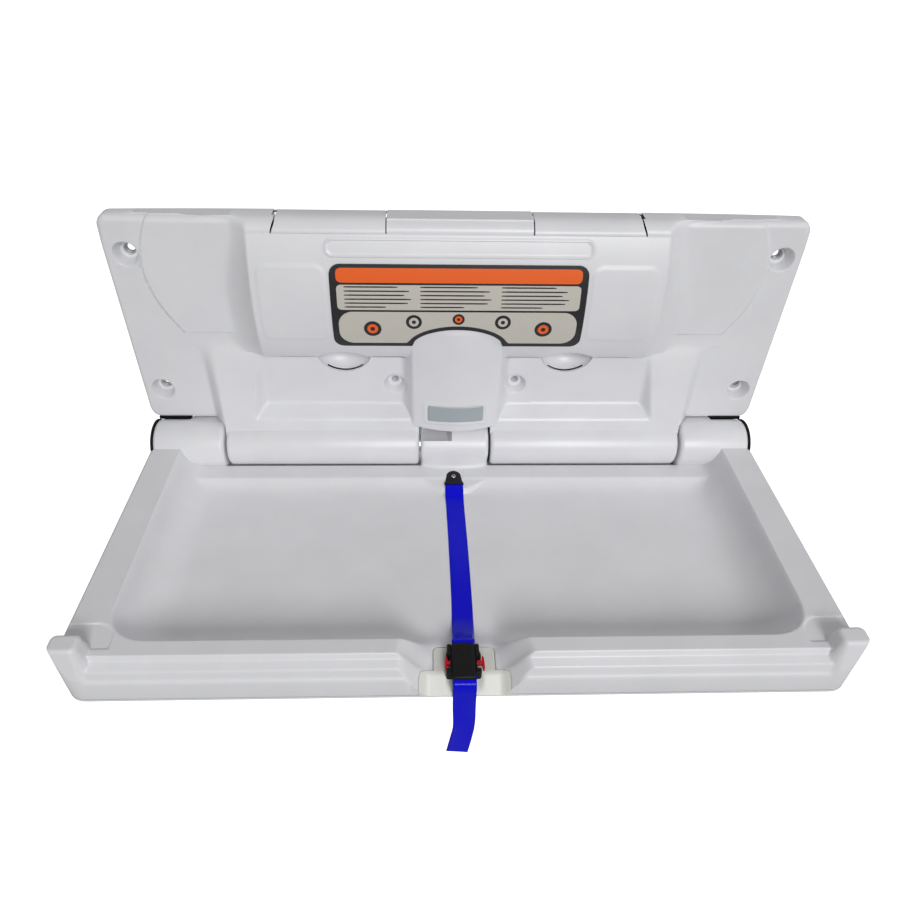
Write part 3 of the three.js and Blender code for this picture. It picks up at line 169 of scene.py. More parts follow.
def inside(x, y, half_x, half_y, corner):
    """Distance inside a rounded rectangle about the origin, negative outside it."""
    qx, qy = np.abs(x) - half_x + corner, np.abs(y) - half_y + corner
    return corner - np.hypot(np.maximum(qx, 0), np.maximum(qy, 0)) - np.minimum(np.maximum(qx, qy), 0)


def grid_lines(*stops):
    """Grid lines through stops of (place, spacing up to the next stop)."""
    parts = [np.linspace(a, b, max(int(np.ceil((b - a) / step)), 1), endpoint=False)
             for (a, step), (b, _) in zip(stops[:-1], stops[1:])]
    return np.concatenate(parts + [[stops[-1][0]]])


def mirrored(lines):
    """Lines on one side of the middle, repeated on the other."""
    return np.concatenate([-lines[:0:-1], lines])


def square_to_round(a, b):
    """Moves a square corner's grid onto its rounded corner: each point shrinks by its larger side over its length."""
    length = np.hypot(a, b)
    share = np.where((a > 0) & (b > 0), np.maximum(a, b) / np.maximum(length, 1e-9), 1)
    return a * share, b * share


def on_wall(x, depth, height):
    """Points of the wall unit in mm: across, out from the wall, up from the panel's bottom edge."""
    x, depth, height = np.broadcast_arrays(x, depth, height)
    return np.stack([x, -depth, height - 141.75], -1).reshape(-1, 3)


def outward(points, faces):
    """A closed shell with its faces turned outwards, by the sign of its volume."""
    faces = np.asarray(faces)
    a, b, c = (points[faces[:, i]] for i in (0, 1, 2))
    d = points[faces[:, -1]]
    volume = (np.cross(a, b) * c).sum() + (np.cross(a, c) * d).sum()
    return points, faces if volume > 0 else faces[:, ::-1]


def put(name, shells, material, body, nodes=(), crease=38, weld=True):
    """Makes one piece from shells of (points in mm, faces), welds its seams and sets it on its body."""
    starts = np.cumsum([0] + [len(points) for points, _ in shells])
    points = np.concatenate([points for points, _ in shells]) / 1000
    faces = [face for (_, part), start in zip(shells, starts) for face in (np.asarray(part) + start).tolist()]
    mesh = bpy.data.meshes.new(name)
    mesh.from_pydata(points.tolist(), [], faces)
    if weld:
        welded = bmesh.new()
        welded.from_mesh(mesh)
        bmesh.ops.remove_doubles(welded, verts=welded.verts, dist=2e-6)
        bmesh.ops.dissolve_degenerate(welded, edges=welded.edges, dist=1e-7)
        welded.to_mesh(mesh)
        welded.free()
    mesh.polygons.foreach_set("use_smooth", np.ones(len(mesh.polygons), bool))
    mesh.set_sharp_from_angle(angle=np.radians(crease))
    mesh.materials.append(material)
    made = bpy.data.objects.new(name, mesh)
    bpy.context.collection.objects.link(made)
    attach(made, body)
    if nodes:
        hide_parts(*nodes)
    return made


def turned(profile, sides=64):
    """A shell of [along, radius] points turned about the X axis: each ring is a circle of its radius."""
    along, radius = np.array(profile, float).T
    angle = np.linspace(0, 2 * np.pi, sides, endpoint=False)
    x = np.broadcast_to(along[:, None], (len(along), sides))
    return (x, radius[:, None] * np.cos(angle), radius[:, None] * np.sin(angle),
            sheet_faces(len(along), sides, False, True))


def quarter(centre, radius, start, end, steps=6):
    """Points of an arc between two angles in degrees."""
    angle = np.radians(np.linspace(start, end, steps))
    return np.stack([centre[0] + radius * np.cos(angle), centre[1] + radius * np.sin(angle)], -1)


def barrel_profile(start, end, radius, bore, edge):
    """Half section of a barrel with rounded ends and a bore: closed loop of [along, radius]."""
    return np.concatenate([[[start, bore]], quarter((start + edge, radius - edge), edge, 180, 90),
                           quarter((end - edge, radius - edge), edge, 90, 0), [[end, bore], [start, bore]]])


def polyethylene(tree):
    """Moulded skin: a 1.6 mm pebble grain, coarser than the real 0.4 mm so that it shows, and a cloudy 60 mm tone."""
    spot = add(tree, "TexCoord").outputs["Object"]
    grain = add(tree, "TexNoise", {"Vector": spot, "Scale": 620.0, "Detail": 2.0, "Roughness": 0.55})
    cloud = add(tree, "TexNoise", {"Vector": spot, "Scale": 16.0, "Detail": 3.0})
    tone = add(tree, "ValToRGB", {"Fac": cloud.outputs["Fac"]})
    tone.color_ramp.elements[0].position, tone.color_ramp.elements[1].position = 0.3, 0.7
    tone.color_ramp.elements[0].color, tone.color_ramp.elements[1].color = srgb("e0e0e3"), srgb("e5e5e8")
    gloss = add(tree, "MapRange", {"Value": grain.outputs["Fac"], "To Min": 0.3, "To Max": 0.42})
    bump = add(tree, "Bump", {"Height": grain.outputs["Fac"], "Strength": 0.09, "Distance": 0.0006})
    return {"Base Color": tone.outputs["Color"], "Roughness": gloss.outputs["Result"], "IOR": 1.53,
            "Normal": bump.outputs["Normal"], "Subsurface Weight": 0.04, "Subsurface Scale": 0.004}


grey_polyethylene = finish("moulded_grey_polyethylene", polyethylene)

PANEL_HALF, PANEL_TOP, PANEL_BACK, ROOF_RISE = 433, 288.5, 3.3, 2.4
FLANGE, BLOCK_END, KNUCKLE_END = 25, 323, 50.5
DOOR_X = (87.4, 224.6)
DOOR_SILL, ROOF_CURVE = 275.4, 14.9
SCOOP_X, SCOOP_H = 151, 103.5


def bulge_front(h):
    """Depth of the dispenser's front: quarter ellipse at the roof, parabola to the belly, parabola to the lip."""
    roof = 21 + 21 * np.sqrt(np.clip(1 - ((h - 276) / ROOF_CURVE) ** 2, 0, 1))
    upper = 62 - 20 * ((h - 178) / 98) ** 2
    t = (97.33 - np.sqrt(np.clip(97.33 ** 2 - 97.32 * (178 - h), 0, None))) / 48.66
    lower = 62 - 21 * np.clip(t, 0, 1) ** 2
    return np.where(h > 276, roof, np.where(h > 178, upper, lower))


def column_foot(x):
    """Height of the column's lower edge: a parabola, lowest in the middle."""
    return -4.2 + 3.5 * (x / 50) ** 2


def wall_depth(x, h, level=None):
    """Depth of the panel's front over its face: flange, relief, block, recess, dispenser and column,
    each a plane, parabola or ellipse, joined by rounded maxima and minima."""
    a = np.abs(x)
    relief = np.minimum(389.5 - 0.0042 * (h - 222) ** 2 - a, h - 134)
    edge = inside(x, (h if level is None else level) - PANEL_TOP / 2, PANEL_HALF, PANEL_TOP / 2, 14)
    depth = FLANGE + 2.8 * ease(relief / 1.8 + 0.5) - rounded(edge, 5 + 3 * ease((h - 250) / 30))

    end = BLOCK_END + 7 * np.clip(h / 112, 0, 1)
    run = 10 + 8 * np.clip(1 - h / 112, 0, 1)
    face = soft_min(31 + 24 * (104 - h) / 112, 31 - 6 * (h - 104) / 14, 2)
    block = soft_min(face, FLANGE + (end + run - a) * np.maximum(face - FLANGE, 1) / run, 4)
    recess = soft_max(31, 31 + 1.2 * (26 - h), 4)
    recess = soft_max(recess, 31 + 1.5 * (a - 266), 7)
    depth = soft_max(depth, soft_min(block, recess, 3), 4)

    front = bulge_front(h) - np.clip(107.4 - h, 0, 30) * 9
    base = np.interp(h, [200, 270], [308, 288])
    share = (base - a) / (base - 254)
    cove = FLANGE + np.maximum(front - FLANGE, 0.5) * share * np.abs(share)
    depth = soft_max(depth, soft_min(front, cove, 2.2), 1.5)
    frames = inside(a - 204.5, h - 192, 41, 49, 12)
    depth += 0.9 * ease(frames / 1.8 + 0.5)
    oval = inside(x, h - 261.6, 161, 9.3, 9.3)
    depth += 1.3 * ease(1.5 - np.abs(oval) / 1.2)

    rise = np.maximum(h - 134, 0)
    off = np.maximum(a, 1e-3)
    ratio = np.hypot(off / 55, rise / 24)
    reach = (1 - ratio) * ratio / np.hypot(off / 55 ** 2, rise / 24 ** 2)
    flank = 31 + 32 * ease((reach + 21) / 26) + np.maximum(reach - 4, 0)
    border = inside(x, h - 26.8, 44.7, 18.4, 5)
    bow = 63 - 8 * (a / 55) ** 2 + 1.0 * ease(border / 1.2) * (1 - ease((border - 4.4) / 1.2))
    bow = bow - rounded(h - column_foot(x), 3)
    depth = soft_max(depth, soft_min(bow, flank, 3), 2)

    slot = (a > 70) & (a < 236) & (np.abs(a - SCOOP_X) > 38.1) & (h > 100.4) & (h < 108.6)
    return np.where(slot, 14, depth)


def ring_patch(loop, centre, rings):
    """Fills a square window of the grid: its border shrinks in steps onto circles of (radius, depth)."""
    angle = np.arctan2(loop[:, 1] - centre[1], loop[:, 0] - centre[0])
    circle = np.stack([np.cos(angle), np.sin(angle)], -1)
    flat = loop[:, 2]
    first = np.asarray(centre) + rings[0][0] * circle
    rows = [loop[:, :2], (loop[:, :2] + first) / 2] + [np.asarray(centre) + r * circle for r, _ in rings]
    depths = [flat, (flat + rings[0][1]) / 2] + [np.full(len(loop), d) for _, d in rings]
    xy, d = np.stack(rows), np.stack(depths)
    return on_wall(xy[..., 0], d, xy[..., 1]), sheet_faces(len(rows), len(loop), False, True)


panel_x = mirrored(grid_lines(
    (0, 2.7), (46, 1.5), (KNUCKLE_END, 1.0), (62, 2.5), (67, 2.6), (DOOR_X[0], 2.6), (101, 2.6), (113, 1.7),
    (189, 2.6), (DOOR_X[1], 2.6), (248, 1.0), (262, 2.0), (284, 2.6), (318, 1.7), (BLOCK_END, 1.7), (346, 1.7),
    (388.5, 2.7), (424.5, 1.7), (427.5, 0.8), (PANEL_HALF, 1)))
panel_h = grid_lines(
    (-22, 2.8), (-8, 1.7), (-3, 1), (0, 1), (6, 1.9), (10, 1.0), (25, 1.0), (28, 2.4), (40, 2.7), (61, 2.6),
    (74, 1.4), (96.4, 0.75), (110, 1.4), (122, 1.9), (160, 2.6), (222.5, 2.6), (248, 1.3), (258.5, 1.3),
    (DOOR_SILL, 0.9), (PANEL_TOP, 1))
X, H = np.meshgrid(panel_x, panel_h)
corner_x, corner_h = np.abs(X) - PANEL_HALF + 14, np.abs(H - PANEL_TOP / 2) - PANEL_TOP / 2 + 14
round_x, round_h = square_to_round(corner_x, corner_h)
PX = X + np.sign(X) * (round_x - corner_x)
PH = H + np.sign(H - PANEL_TOP / 2) * (round_h - corner_h)
PH = PH + ROOF_RISE * (1 - (X / PANEL_HALF) ** 4) * ease((H - 270) / 18.5)
PX = PX - np.sign(X) * 3.8 * np.clip(1 - np.abs(np.abs(X) - DOOR_X[1]) / 14, 0, 1) * ease((H - DOOR_SILL) / 13)
PH = PH + np.where(np.abs(X) <= KNUCKLE_END, (column_foot(X) + 3) * ease((3 - H) / 6), 0)
LEVEL = PH
PH = PH - 5.2 * ease((np.abs(X) - 336) / 8) * ease((20 - H) / 20)
D = wall_depth(PX, PH, LEVEL)

mid_x, mid_h = (panel_x[:-1] + panel_x[1:]) / 2, (panel_h[:-1] + panel_h[1:]) / 2
CX, CH = np.meshgrid(np.abs(mid_x), mid_h)
kept = (CH > 0) | ((CH > -3) & (CX < KNUCKLE_END)) | ((CX > KNUCKLE_END) & (CX < BLOCK_END))
doorway = (CX > DOOR_X[0]) & (CX < DOOR_X[1]) & (CH > DOOR_SILL)
kept &= ~doorway
HOLES = [(x, h, FLANGE, 15.8, 7.5, 16, 18) for x in (-406.5, 406.5) for h in (43, 240.5)]
HOLES += [(x, 57, 31, 14.5, 5, 12, 17) for x in (-84, 84)]
windows = [(np.abs(np.meshgrid(mid_x, mid_h)[0] - x) < half) & (np.abs(CH - h) < half)
           for x, h, *_, half in HOLES]
windows.append((np.abs(CX - SCOOP_X) < 38) & (CH > 74) & (CH < 122))
shown = kept & ~np.any(windows, axis=0)
index = np.arange(X.size).reshape(X.shape)
cells = np.stack([index[:-1, :-1], index[:-1, 1:], index[1:, 1:], index[1:, :-1]], -1)
front_points = on_wall(PX, D, PH)


def border_edges(kept, cells):
    """Edges of kept cells that have no kept neighbour, as (first, second) in the face's own order."""
    room = np.pad(kept, 1)
    sides = [(room[:-2, 1:-1], 0, 1), (room[1:-1, 2:], 1, 2), (room[2:, 1:-1], 2, 3), (room[1:-1, :-2], 3, 0)]
    return np.concatenate([cells[kept & ~other][:, [i, j]] for other, i, j in sides])


edges = border_edges(kept, cells)
mid_edge = (front_points[edges[:, 0]] + front_points[edges[:, 1]]) / 2
over_door = (np.abs(mid_edge[:, 0]) > DOOR_X[0]) & (np.abs(mid_edge[:, 0]) < DOOR_X[1]) & (mid_edge[:, 2] > 130)
edges = edges[~over_door]
a, b = front_points[edges[:, 0]], front_points[edges[:, 1]]
flat_a, flat_b = (p * (1, 0, 1) - (0, PANEL_BACK, 0) for p in (a, b))
low, high = (-PANEL_HALF + 12, -PANEL_BACK, 12 - 141.75), (PANEL_HALF - 12, -PANEL_BACK, PANEL_TOP - 12 - 141.75)
rim_a, rim_b = np.clip(flat_a, low, high), np.clip(flat_b, low, high)
count = np.arange(len(edges))[:, None] * 4
skirt = (np.stack([b, a, flat_a, flat_b], 1).reshape(-1, 3), count + np.arange(4))
back_rim = (np.stack([flat_b, flat_a, rim_a, rim_b], 1).reshape(-1, 3), count + np.arange(4))


def window_loop(x0, x1, h0, h1):
    """Grid points round a window of the panel's front, as rows of across, up and depth."""
    j0, j1 = np.searchsorted(panel_x, [x0 - 1e-6, x1 - 1e-6])
    i0, i1 = np.searchsorted(panel_h, [h0 - 1e-6, h1 - 1e-6])
    loop = np.concatenate([index[i0, j0:j1], index[i0:i1, j1], index[i1, j1:j0:-1], index[i1:i0:-1, j0]])
    return np.stack([PX.ravel()[loop], PH.ravel()[loop], D.ravel()[loop]], -1)


def hole(x, h, face, sink, bore, depth, half):
    """A counterbored hole: the window's border, a small round at the rim, a steep cone, a seat and the bore."""
    return ring_patch(window_loop(x - half, x + half, h - half, h + half), (x, h), [
        (sink + 1.2, face), (sink + 0.4, face - 0.06), (sink, face - 0.4), (sink - 0.4, face - 1.2),
        (sink * 0.76, face - depth * 0.45), (sink * 0.7, face - depth + 1.0), (sink * 0.66, face - depth + 0.2),
        (bore + 0.5, face - depth), (bore + 0.1, face - depth - 0.2), (bore, face - depth - 0.7), (bore, PANEL_BACK)])


def scoop(side):
    """A finger scoop: a lens-shaped mouth with a crisp lip, round below and flat above, and a hollow
    of half an ellipse in depth, with a thin slit left open behind the lower lip."""
    x0, x1 = sorted((side * (SCOOP_X - 38), side * (SCOOP_X + 38)))
    loop = window_loop(x0, x1, 74, 122)
    centre = np.array((side * SCOOP_X, SCOOP_H))
    angle = np.arctan2(loop[:, 1] - centre[1], loop[:, 0] - centre[0])
    c, s = np.abs(np.cos(angle)), np.abs(np.sin(angle))
    power, half = np.where(np.sin(angle) < 0, 1.9, 1.6), np.where(np.sin(angle) < 0, 26.8, 16.5)
    reach = ((c / 36) ** power + (s / half) ** power) ** (-1 / power)
    lens = centre + reach[:, None] * np.stack([np.cos(angle), np.sin(angle)], -1)
    scales = np.array([1, 0.99, 0.966, 0.93, 0.85, 0.7, 0.5, 0.3, 0.12, 0.004])
    rows = np.stack([loop[:, :2] * (1 - t) + lens * t for t in (0, 0.5)]
                    + [centre + (lens - centre) * scale for scale in scales])
    depth = wall_depth(rows[..., 0], rows[..., 1])
    depth[0] = loop[:, 2]
    scale = np.concatenate([[1, 1], scales])[:, None]
    depth[2:] = (depth[2] * scale + 34 * (1 - scale) - 24 * np.sqrt(1 - scale ** 2))[2:]
    faces = sheet_faces(len(rows), len(loop), False, True)
    ring = faces[:, 0] // len(loop)
    below = -np.sin(angle)[faces[:, 0] % len(loop)]
    slit = (below > 0.6) & (ring == 3)
    return on_wall(rows[..., 0], depth, rows[..., 1]), faces[~slit]


def bay(side):
    """Walls of a liner bay seen through its doorway: front lip edge, four walls and a floor, facing inwards."""
    x0, x1 = DOOR_X
    ring = np.array([(x0, 42), (x1, 42), (x1, 4.3), (x0, 4.3)])
    inner = np.array([(x0, 38), (x1, 38), (x1, 4.3), (x0, 4.3)])
    levels = [(ring, DOOR_SILL), (inner, DOOR_SILL), (inner, 112)]
    x = np.stack([loop[:, 0] for loop, _ in levels]) * side
    d = np.stack([loop[:, 1] for loop, _ in levels])
    h = np.stack([np.full(4, level) for _, level in levels])
    faces = np.concatenate([sheet_faces(3, 4, False, True), [[8, 9, 10, 11]]])
    return on_wall(x, d, h), faces[:, ::side]


def wall_barrel(side):
    """A wall barrel of 31 mm radius about the hinge axis, with rounded ends."""
    x, up, out, faces = turned(barrel_profile(KNUCKLE_END, BLOCK_END - 1, 31, 13.4, 6), 72)
    return outward(on_wall(side * x, 45 + out, up - 37), faces)


put("wall_panel",
    [(front_points, cells[shown]), skirt, back_rim] + [hole(*spot) for spot in HOLES]
    + [scoop(1), scoop(-1), bay(1), bay(-1), wall_barrel(1), wall_barrel(-1)],
    grey_polyethylene, "wall_unit", ["wall_panel"])

# Liner doors: two curved polyethylene lids that close the dispenser's roof.
# Each turns on a steel pin at its rear edge and leaves a thin dark line at its ends and front edge.
def prism(outline, start, end, axes):
    """An outline carried straight along one axis: two copies of its points, side walls and both ends."""
    outline = np.asarray(outline, float)
    n = len(outline)
    spots = np.stack([np.tile(outline[:, 0], 2), np.tile(outline[:, 1], 2), np.repeat([start, end], n)], -1)
    i = np.arange(n)
    walls = np.stack([i, (i + 1) % n, (i + 1) % n + n, i + n], -1)
    return spots[:, axes], walls, n


def put_prism(name, outline, start, end, axes, move, material, body, nodes, bevel, crease=32):
    """A prism as a piece: solid ends, and edges broken by a small round."""
    spots, walls, n = prism(outline, start, end, axes)
    points = move(*spots.T)
    mesh = bpy.data.meshes.new(name)
    mesh.from_pydata((points / 1000).tolist(), [], walls.tolist() + [list(range(n))[::-1], list(range(n, 2 * n))])
    solid = bmesh.new()
    solid.from_mesh(mesh)
    bmesh.ops.recalc_face_normals(solid, faces=solid.faces)
    solid.to_mesh(mesh)
    solid.free()
    mesh.polygons.foreach_set("use_smooth", np.ones(len(mesh.polygons), bool))
    mesh.set_sharp_from_angle(angle=np.radians(crease))
    mesh.materials.append(material)
    made = bpy.data.objects.new(name, mesh)
    bpy.context.collection.objects.link(made)
    edge = made.modifiers.new("edge", "BEVEL")
    edge.width, edge.segments, edge.limit_method, edge.angle_limit = bevel / 1000, 3, "ANGLE", np.radians(40)
    edge.harden_normals = True
    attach(made, body)
    if nodes:
        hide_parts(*nodes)
    return made


door_arc = np.radians(np.linspace(90, 0, 15))
door_lip = 1.2 * ease((np.radians(38) - door_arc) / np.radians(26))
door_outer = np.stack([21 + (21 + door_lip) * np.cos(door_arc), 276 + ROOF_CURVE * np.sin(door_arc)], -1)
door_inner = np.stack([21 + 18 * np.cos(door_arc[::-1]), 276 + (ROOF_CURVE - 3) * np.sin(door_arc[::-1])], -1)
knuckle_arc = quarter((6, 288.2), 2.7, 270, 90, 9)
door_outline = np.concatenate([knuckle_arc, door_outer, door_inner, [[8, 287.7]]])

def on_roof(x, depth, height):
    """Points of a door whose outer end leans inwards by 3.8 mm from its lip to its rear edge."""
    lean = 3.8 * ease((height - DOOR_SILL) / 13) * (np.abs(x) > 200)
    return on_wall(x - np.sign(x) * lean, depth, height)


for name, side in (("right", 1), ("left", -1)):
    put_prism("liner_door_" + name, door_outline, 88.7 * side, 223.3 * side, [2, 0, 1], on_roof,
              grey_polyethylene, "liner_door_" + name, ["liner_door_" + name], 0.9)


# Printed sheet on the dispenser: plastic film with a generic print in charcoal, orange and warm grey.
# Its print layers follow the bulge, with plain bars and discs only, and an arch clears the column's head.
def gloss_print(code, roughness):
    """Printed film: one ink with faint 0.5 mm mottling in its gloss, under a clear satin face."""
    def links(tree):
        spot = add(tree, "TexCoord").outputs["Object"]
        fleck = add(tree, "TexNoise", {"Vector": spot, "Scale": 900.0, "Detail": 1.0})
        gloss = add(tree, "MapRange", {"Value": fleck.outputs["Fac"], "To Min": roughness - 0.05,
                                       "To Max": roughness + 0.05})
        return {"Base Color": srgb(code), "Roughness": gloss.outputs["Result"], "IOR": 1.5}
    return links


print_inks = [finish("printed_film_" + name, gloss_print(code, rough)) for name, code, rough in (
    ("charcoal", "232326", 0.35), ("orange", "f2651c", 0.35), ("warm_grey", "c9c5bb", 0.4))]


def on_bulge(x, h, lift):
    """Points on the dispenser's front, lifted off it along the depth."""
    return on_wall(x, bulge_front(h) + lift, h)


def print_patch(x0, h0, x1, h1, corner, lift, ink, arch=None, steps=(48, 24)):
    """A rounded rectangle of ink on the bulge: a square grid with its corners rounded, raised over an arch."""
    s, t = np.meshgrid(np.linspace(-1, 1, steps[0]), np.linspace(-1, 1, steps[1]))
    half_x, half_h = (x1 - x0) / 2, (h1 - h0) / 2
    x, h = s * half_x, t * half_h
    ax, ah = np.abs(x) - half_x + corner, np.abs(h) - half_h + corner
    rx, rh = square_to_round(ax, ah)
    x, h = x + np.sign(x) * (rx - ax) + (x0 + x1) / 2, h + np.sign(h) * (rh - ah) + (h0 + h1) / 2
    if arch:
        foot = arch[1] + arch[2] * np.sqrt(np.clip(1 - (x / arch[0]) ** 2, 0, 1))
        share = (h1 - h) / (h1 - h0)
        h = np.where(np.abs(x) < arch[0], np.maximum(h, h1 - share * (h1 - np.maximum(foot, h0))), h)
    return on_bulge(x, h, lift), sheet_faces(steps[1], steps[0]), ink


def print_disc(x, h, radius, lift, ink, hollow=0.0):
    """A round spot or ring of ink on the bulge."""
    angle = np.linspace(0, 2 * np.pi, 40, endpoint=False)
    r = np.array([max(hollow, 0.01), radius])[:, None]
    return on_bulge(x + r * np.cos(angle), h + r * np.sin(angle), lift), sheet_faces(2, 40, False, True)[:, ::-1], ink


arch = (58.5, 133, 26.5)
label = [print_patch(-158, 133, 158, 244, 13, 1.25, 0, arch, (90, 40)),
         print_patch(-150, 222, 150, 239.5, 6, 1.32, 1, None, (70, 8)),
         print_patch(-150, 187.5, 150, 219.5, 5, 1.32, 2, None, (70, 14)),
         print_patch(-150, 138.5, 150, 185, 18, 1.32, 2, (65, 133, 32), (90, 34))]
label += [print_patch(x, h, x + share * width, h + 1.7, 0.8, 1.4, 0, None, (12, 4))
          for x, width in ((-141, 82), (-48, 88), (52, 84))
          for h, share in zip(np.arange(190.6, 217, 5.1), (0.62, 0.95, 1, 0.9, 0.97, 0.8))]
for x, h, radius in ((-108, 161, 11), (-56, 171, 10), (0, 175, 7.6), (56, 171, 10), (108, 161, 11)):
    label.append(print_disc(x, h, radius, 1.45, 0))
    label.append(print_disc(x, h, 0.62 * radius, 1.52, 2 if abs(x) == 56 else 1))
    label.append(print_disc(x, h, 0.26 * radius, 1.6, 0))


def put_inks(name, layers, inks, body, nodes):
    """A piece whose layers each carry an ink by number."""
    made = put(name, [(points, faces) for points, faces, _ in layers], inks[0], body, nodes, 60, False)
    for ink in inks[1:]:
        made.data.materials.append(ink)
    numbers = np.concatenate([np.full(len(faces), ink) for _, faces, ink in layers])
    made.data.polygons.foreach_set("material_index", numbers.astype(np.int32))
    return made


put_inks("instruction_plate", label, print_inks, "wall_unit", ["instruction_plate"])


# Column plate: a smooth grey ABS plate with rounded corners.
# It is pressed into a raised frame on the column and follows its bow.
grey_plate = finish("satin_grey_abs_plate", lambda tree: {
    "Base Color": srgb("a6afb2"), "IOR": 1.53,
    "Roughness": add(tree, "MapRange", {
        "Value": add(tree, "TexNoise", {"Vector": add(tree, "TexCoord").outputs["Object"],
                                        "Scale": 700.0}).outputs["Fac"],
        "To Min": 0.3, "To Max": 0.38}).outputs["Result"]})
s, t = np.meshgrid(np.linspace(-1, 1, 40), np.linspace(-1, 1, 24))
plate_x, plate_h = s * 38.6, t * 12.9
ax, ah = np.abs(plate_x) - 38.6 + 3, np.abs(plate_h) - 12.9 + 3
rx, rh = square_to_round(ax, ah)
plate_x, plate_h = plate_x + np.sign(plate_x) * (rx - ax), plate_h + np.sign(plate_h) * (rh - ah)
plate_d = 63 - 8 * (plate_x / 55) ** 2 + 1.3 - rounded(inside(plate_x, plate_h, 38.6, 12.9, 3), 0.9)
put("column_plate", [(on_wall(plate_x, plate_d, plate_h + 26.8), sheet_faces(24, 40))],
    grey_plate, "wall_unit", ["column_plate"])


# Hinge tube: zinc plated steel tube of 25.4 mm through all barrels, with black end plugs
# in pressed black brackets that rise behind the panel.
def brushed(code, rough, stretch):
    """Plated steel: fine drawing marks along X, 0.3 mm apart, drawn at 1 mm so that they show."""
    def links(tree):
        spot = add(tree, "TexCoord").outputs["Object"]
        drawn = add(tree, "Mapping", {"Vector": spot, "Scale": stretch})
        marks = add(tree, "TexNoise", {"Vector": drawn.outputs["Vector"], "Scale": 1.0, "Detail": 2.0})
        gloss = add(tree, "MapRange", {"Value": marks.outputs["Fac"], "To Min": rough - 0.07, "To Max": rough + 0.07})
        bump = add(tree, "Bump", {"Height": marks.outputs["Fac"], "Strength": 0.05, "Distance": 0.0003})
        return {"Base Color": srgb(code), "Metallic": 1.0, "Roughness": gloss.outputs["Result"],
                "Normal": bump.outputs["Normal"]}
    return links


plated_steel = finish("zinc_plated_steel", brushed("c6c9cc", 0.24, (40, 1000, 1000)))


def black_coat(code, low, high, scale, strength):
    """Black surface with a fine grain: gloss and relief from one noise."""
    def links(tree):
        spot = add(tree, "TexCoord").outputs["Object"]
        grain = add(tree, "TexNoise", {"Vector": spot, "Scale": scale, "Detail": 2.0})
        gloss = add(tree, "MapRange", {"Value": grain.outputs["Fac"], "To Min": low, "To Max": high})
        bump = add(tree, "Bump", {"Height": grain.outputs["Fac"], "Strength": strength, "Distance": 0.0004})
        return {"Base Color": srgb(code), "Roughness": gloss.outputs["Result"], "IOR": 1.5,
                "Specular IOR Level": 0.3, "Normal": bump.outputs["Normal"]}
    return links


black_powder = finish("black_powder_coat", black_coat("111112", 0.42, 0.56, 800.0, 0.12))
black_nylon = finish("black_moulded_nylon", black_coat("0e0e0f", 0.42, 0.56, 900.0, 0.1))
natural_nylon = finish("natural_nylon", black_coat("e4e2da", 0.42, 0.52, 700.0, 0.06))

tube_x, tube_up, tube_out, tube_faces = turned([(-424.7, 10.7), (-424.7, 12.3), (-424.3, 12.7), (424.3, 12.7),
                                                (424.7, 12.3), (424.7, 10.7), (-424.7, 10.7)], 56)
put("hinge_tube", [outward(on_wall(tube_x, 45 + tube_out, tube_up - 37), tube_faces)],
    plated_steel, "wall_unit", ["hinge_tube"])
ear = np.concatenate([[[3.3, -29]], [[3.3, -71]], quarter((45, -37), 35, -90, 165, 44)])
leg = [(384, -68), (425, -68), (425, 16), (384, 16)]
tab = [(6, -10.6), (22.8, -10.6), (22.8, -5.9), (6, -5.9)]
for name, side in (("right", 1), ("left", -1)):
    put_prism("hinge_bracket_" + name, ear, 423.4 * side, 425 * side, [2, 0, 1], on_wall, black_powder,
              "wall_unit", ["hinge_bracket_" + name], 0.5)
    put_prism("hinge_bracket_leg_" + name, [(x * side, h) for x, h in leg], 3.35, 6.3, [0, 2, 1], on_wall,
              black_powder, "wall_unit", [], 0.4)
    put_prism("hinge_bracket_tab_" + name, tab, 379.6 * side, 424 * side, [2, 0, 1], on_wall,
              black_powder, "wall_unit", [], 0.4)
    px, pup, pout, pfaces = turned([(413, 0.01), (413, 10.2), (425.3, 10.2), (425.3, 16.2), (425.6, 16.7),
                                    (426.1, 16.5), (426.4, 14), (426.4, 0.01)], 48)
    put("tube_plug_" + name, [outward(on_wall(px * side, 45 + pout, pup - 37), pfaces)], black_nylon,
        "wall_unit", ["tube_plug_" + name])
    # Thrust washers at the knuckle's ends. The left one is plated steel. The right one is black nylon so that the gap
    # beside the knuckle reads dark, which is painted shade in that gap.
    wx, wup, wout, wfaces = turned([(48.7, 13.2), (48.7, 28.2), (48.9, 28.5), (50.1, 28.5), (50.3, 28.2),
                                    (50.3, 13.2), (48.7, 13.2)], 56)
    put("thrust_washer_" + name, [outward(on_wall(wx * side, 45 + wout, wup - 37), wfaces)],
        black_nylon if side > 0 else plated_steel, "wall_unit", [])

# Hidden hardware: plated steel sheet, pins and screws, the black damper and natural nylon bushes.
# Their CAD shapes stay as they are and get their finish here.
for node, material in [("wall_backplate", plated_steel), ("damper_bracket", plated_steel),
                       ("damper_pivot", plated_steel), ("damper_rod", plated_steel), ("crank_pin", plated_steel),
                       ("door_pin_right", plated_steel), ("door_pin_left", plated_steel),
                       ("damper_cylinder", black_powder), ("damper_yoke", black_powder)] \
        + [("panel_screw_%d" % i, plated_steel) for i in range(1, 5)] \
        + [(side + "_bush_" + hand, natural_nylon) for side in ("tray", "knuckle") for hand in ("right", "left")]:
    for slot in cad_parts[node].material_slots:
        slot.material = material


# Tray: the top half of the folding bed in the same grey polyethylene, hung on the tube by two side
# barrels and a middle knuckle. Rim, basin, rear ledge, strap notch, front steps and bag hooks are one moulding.
def on_tray(x, out, up):
    """Points of the tray in mm: across, out from the hinge axis, up from it."""
    x, out, up = np.broadcast_arrays(x, out, up)
    return np.stack([x, -45 - out, up - 178.75], -1).reshape(-1, 3)


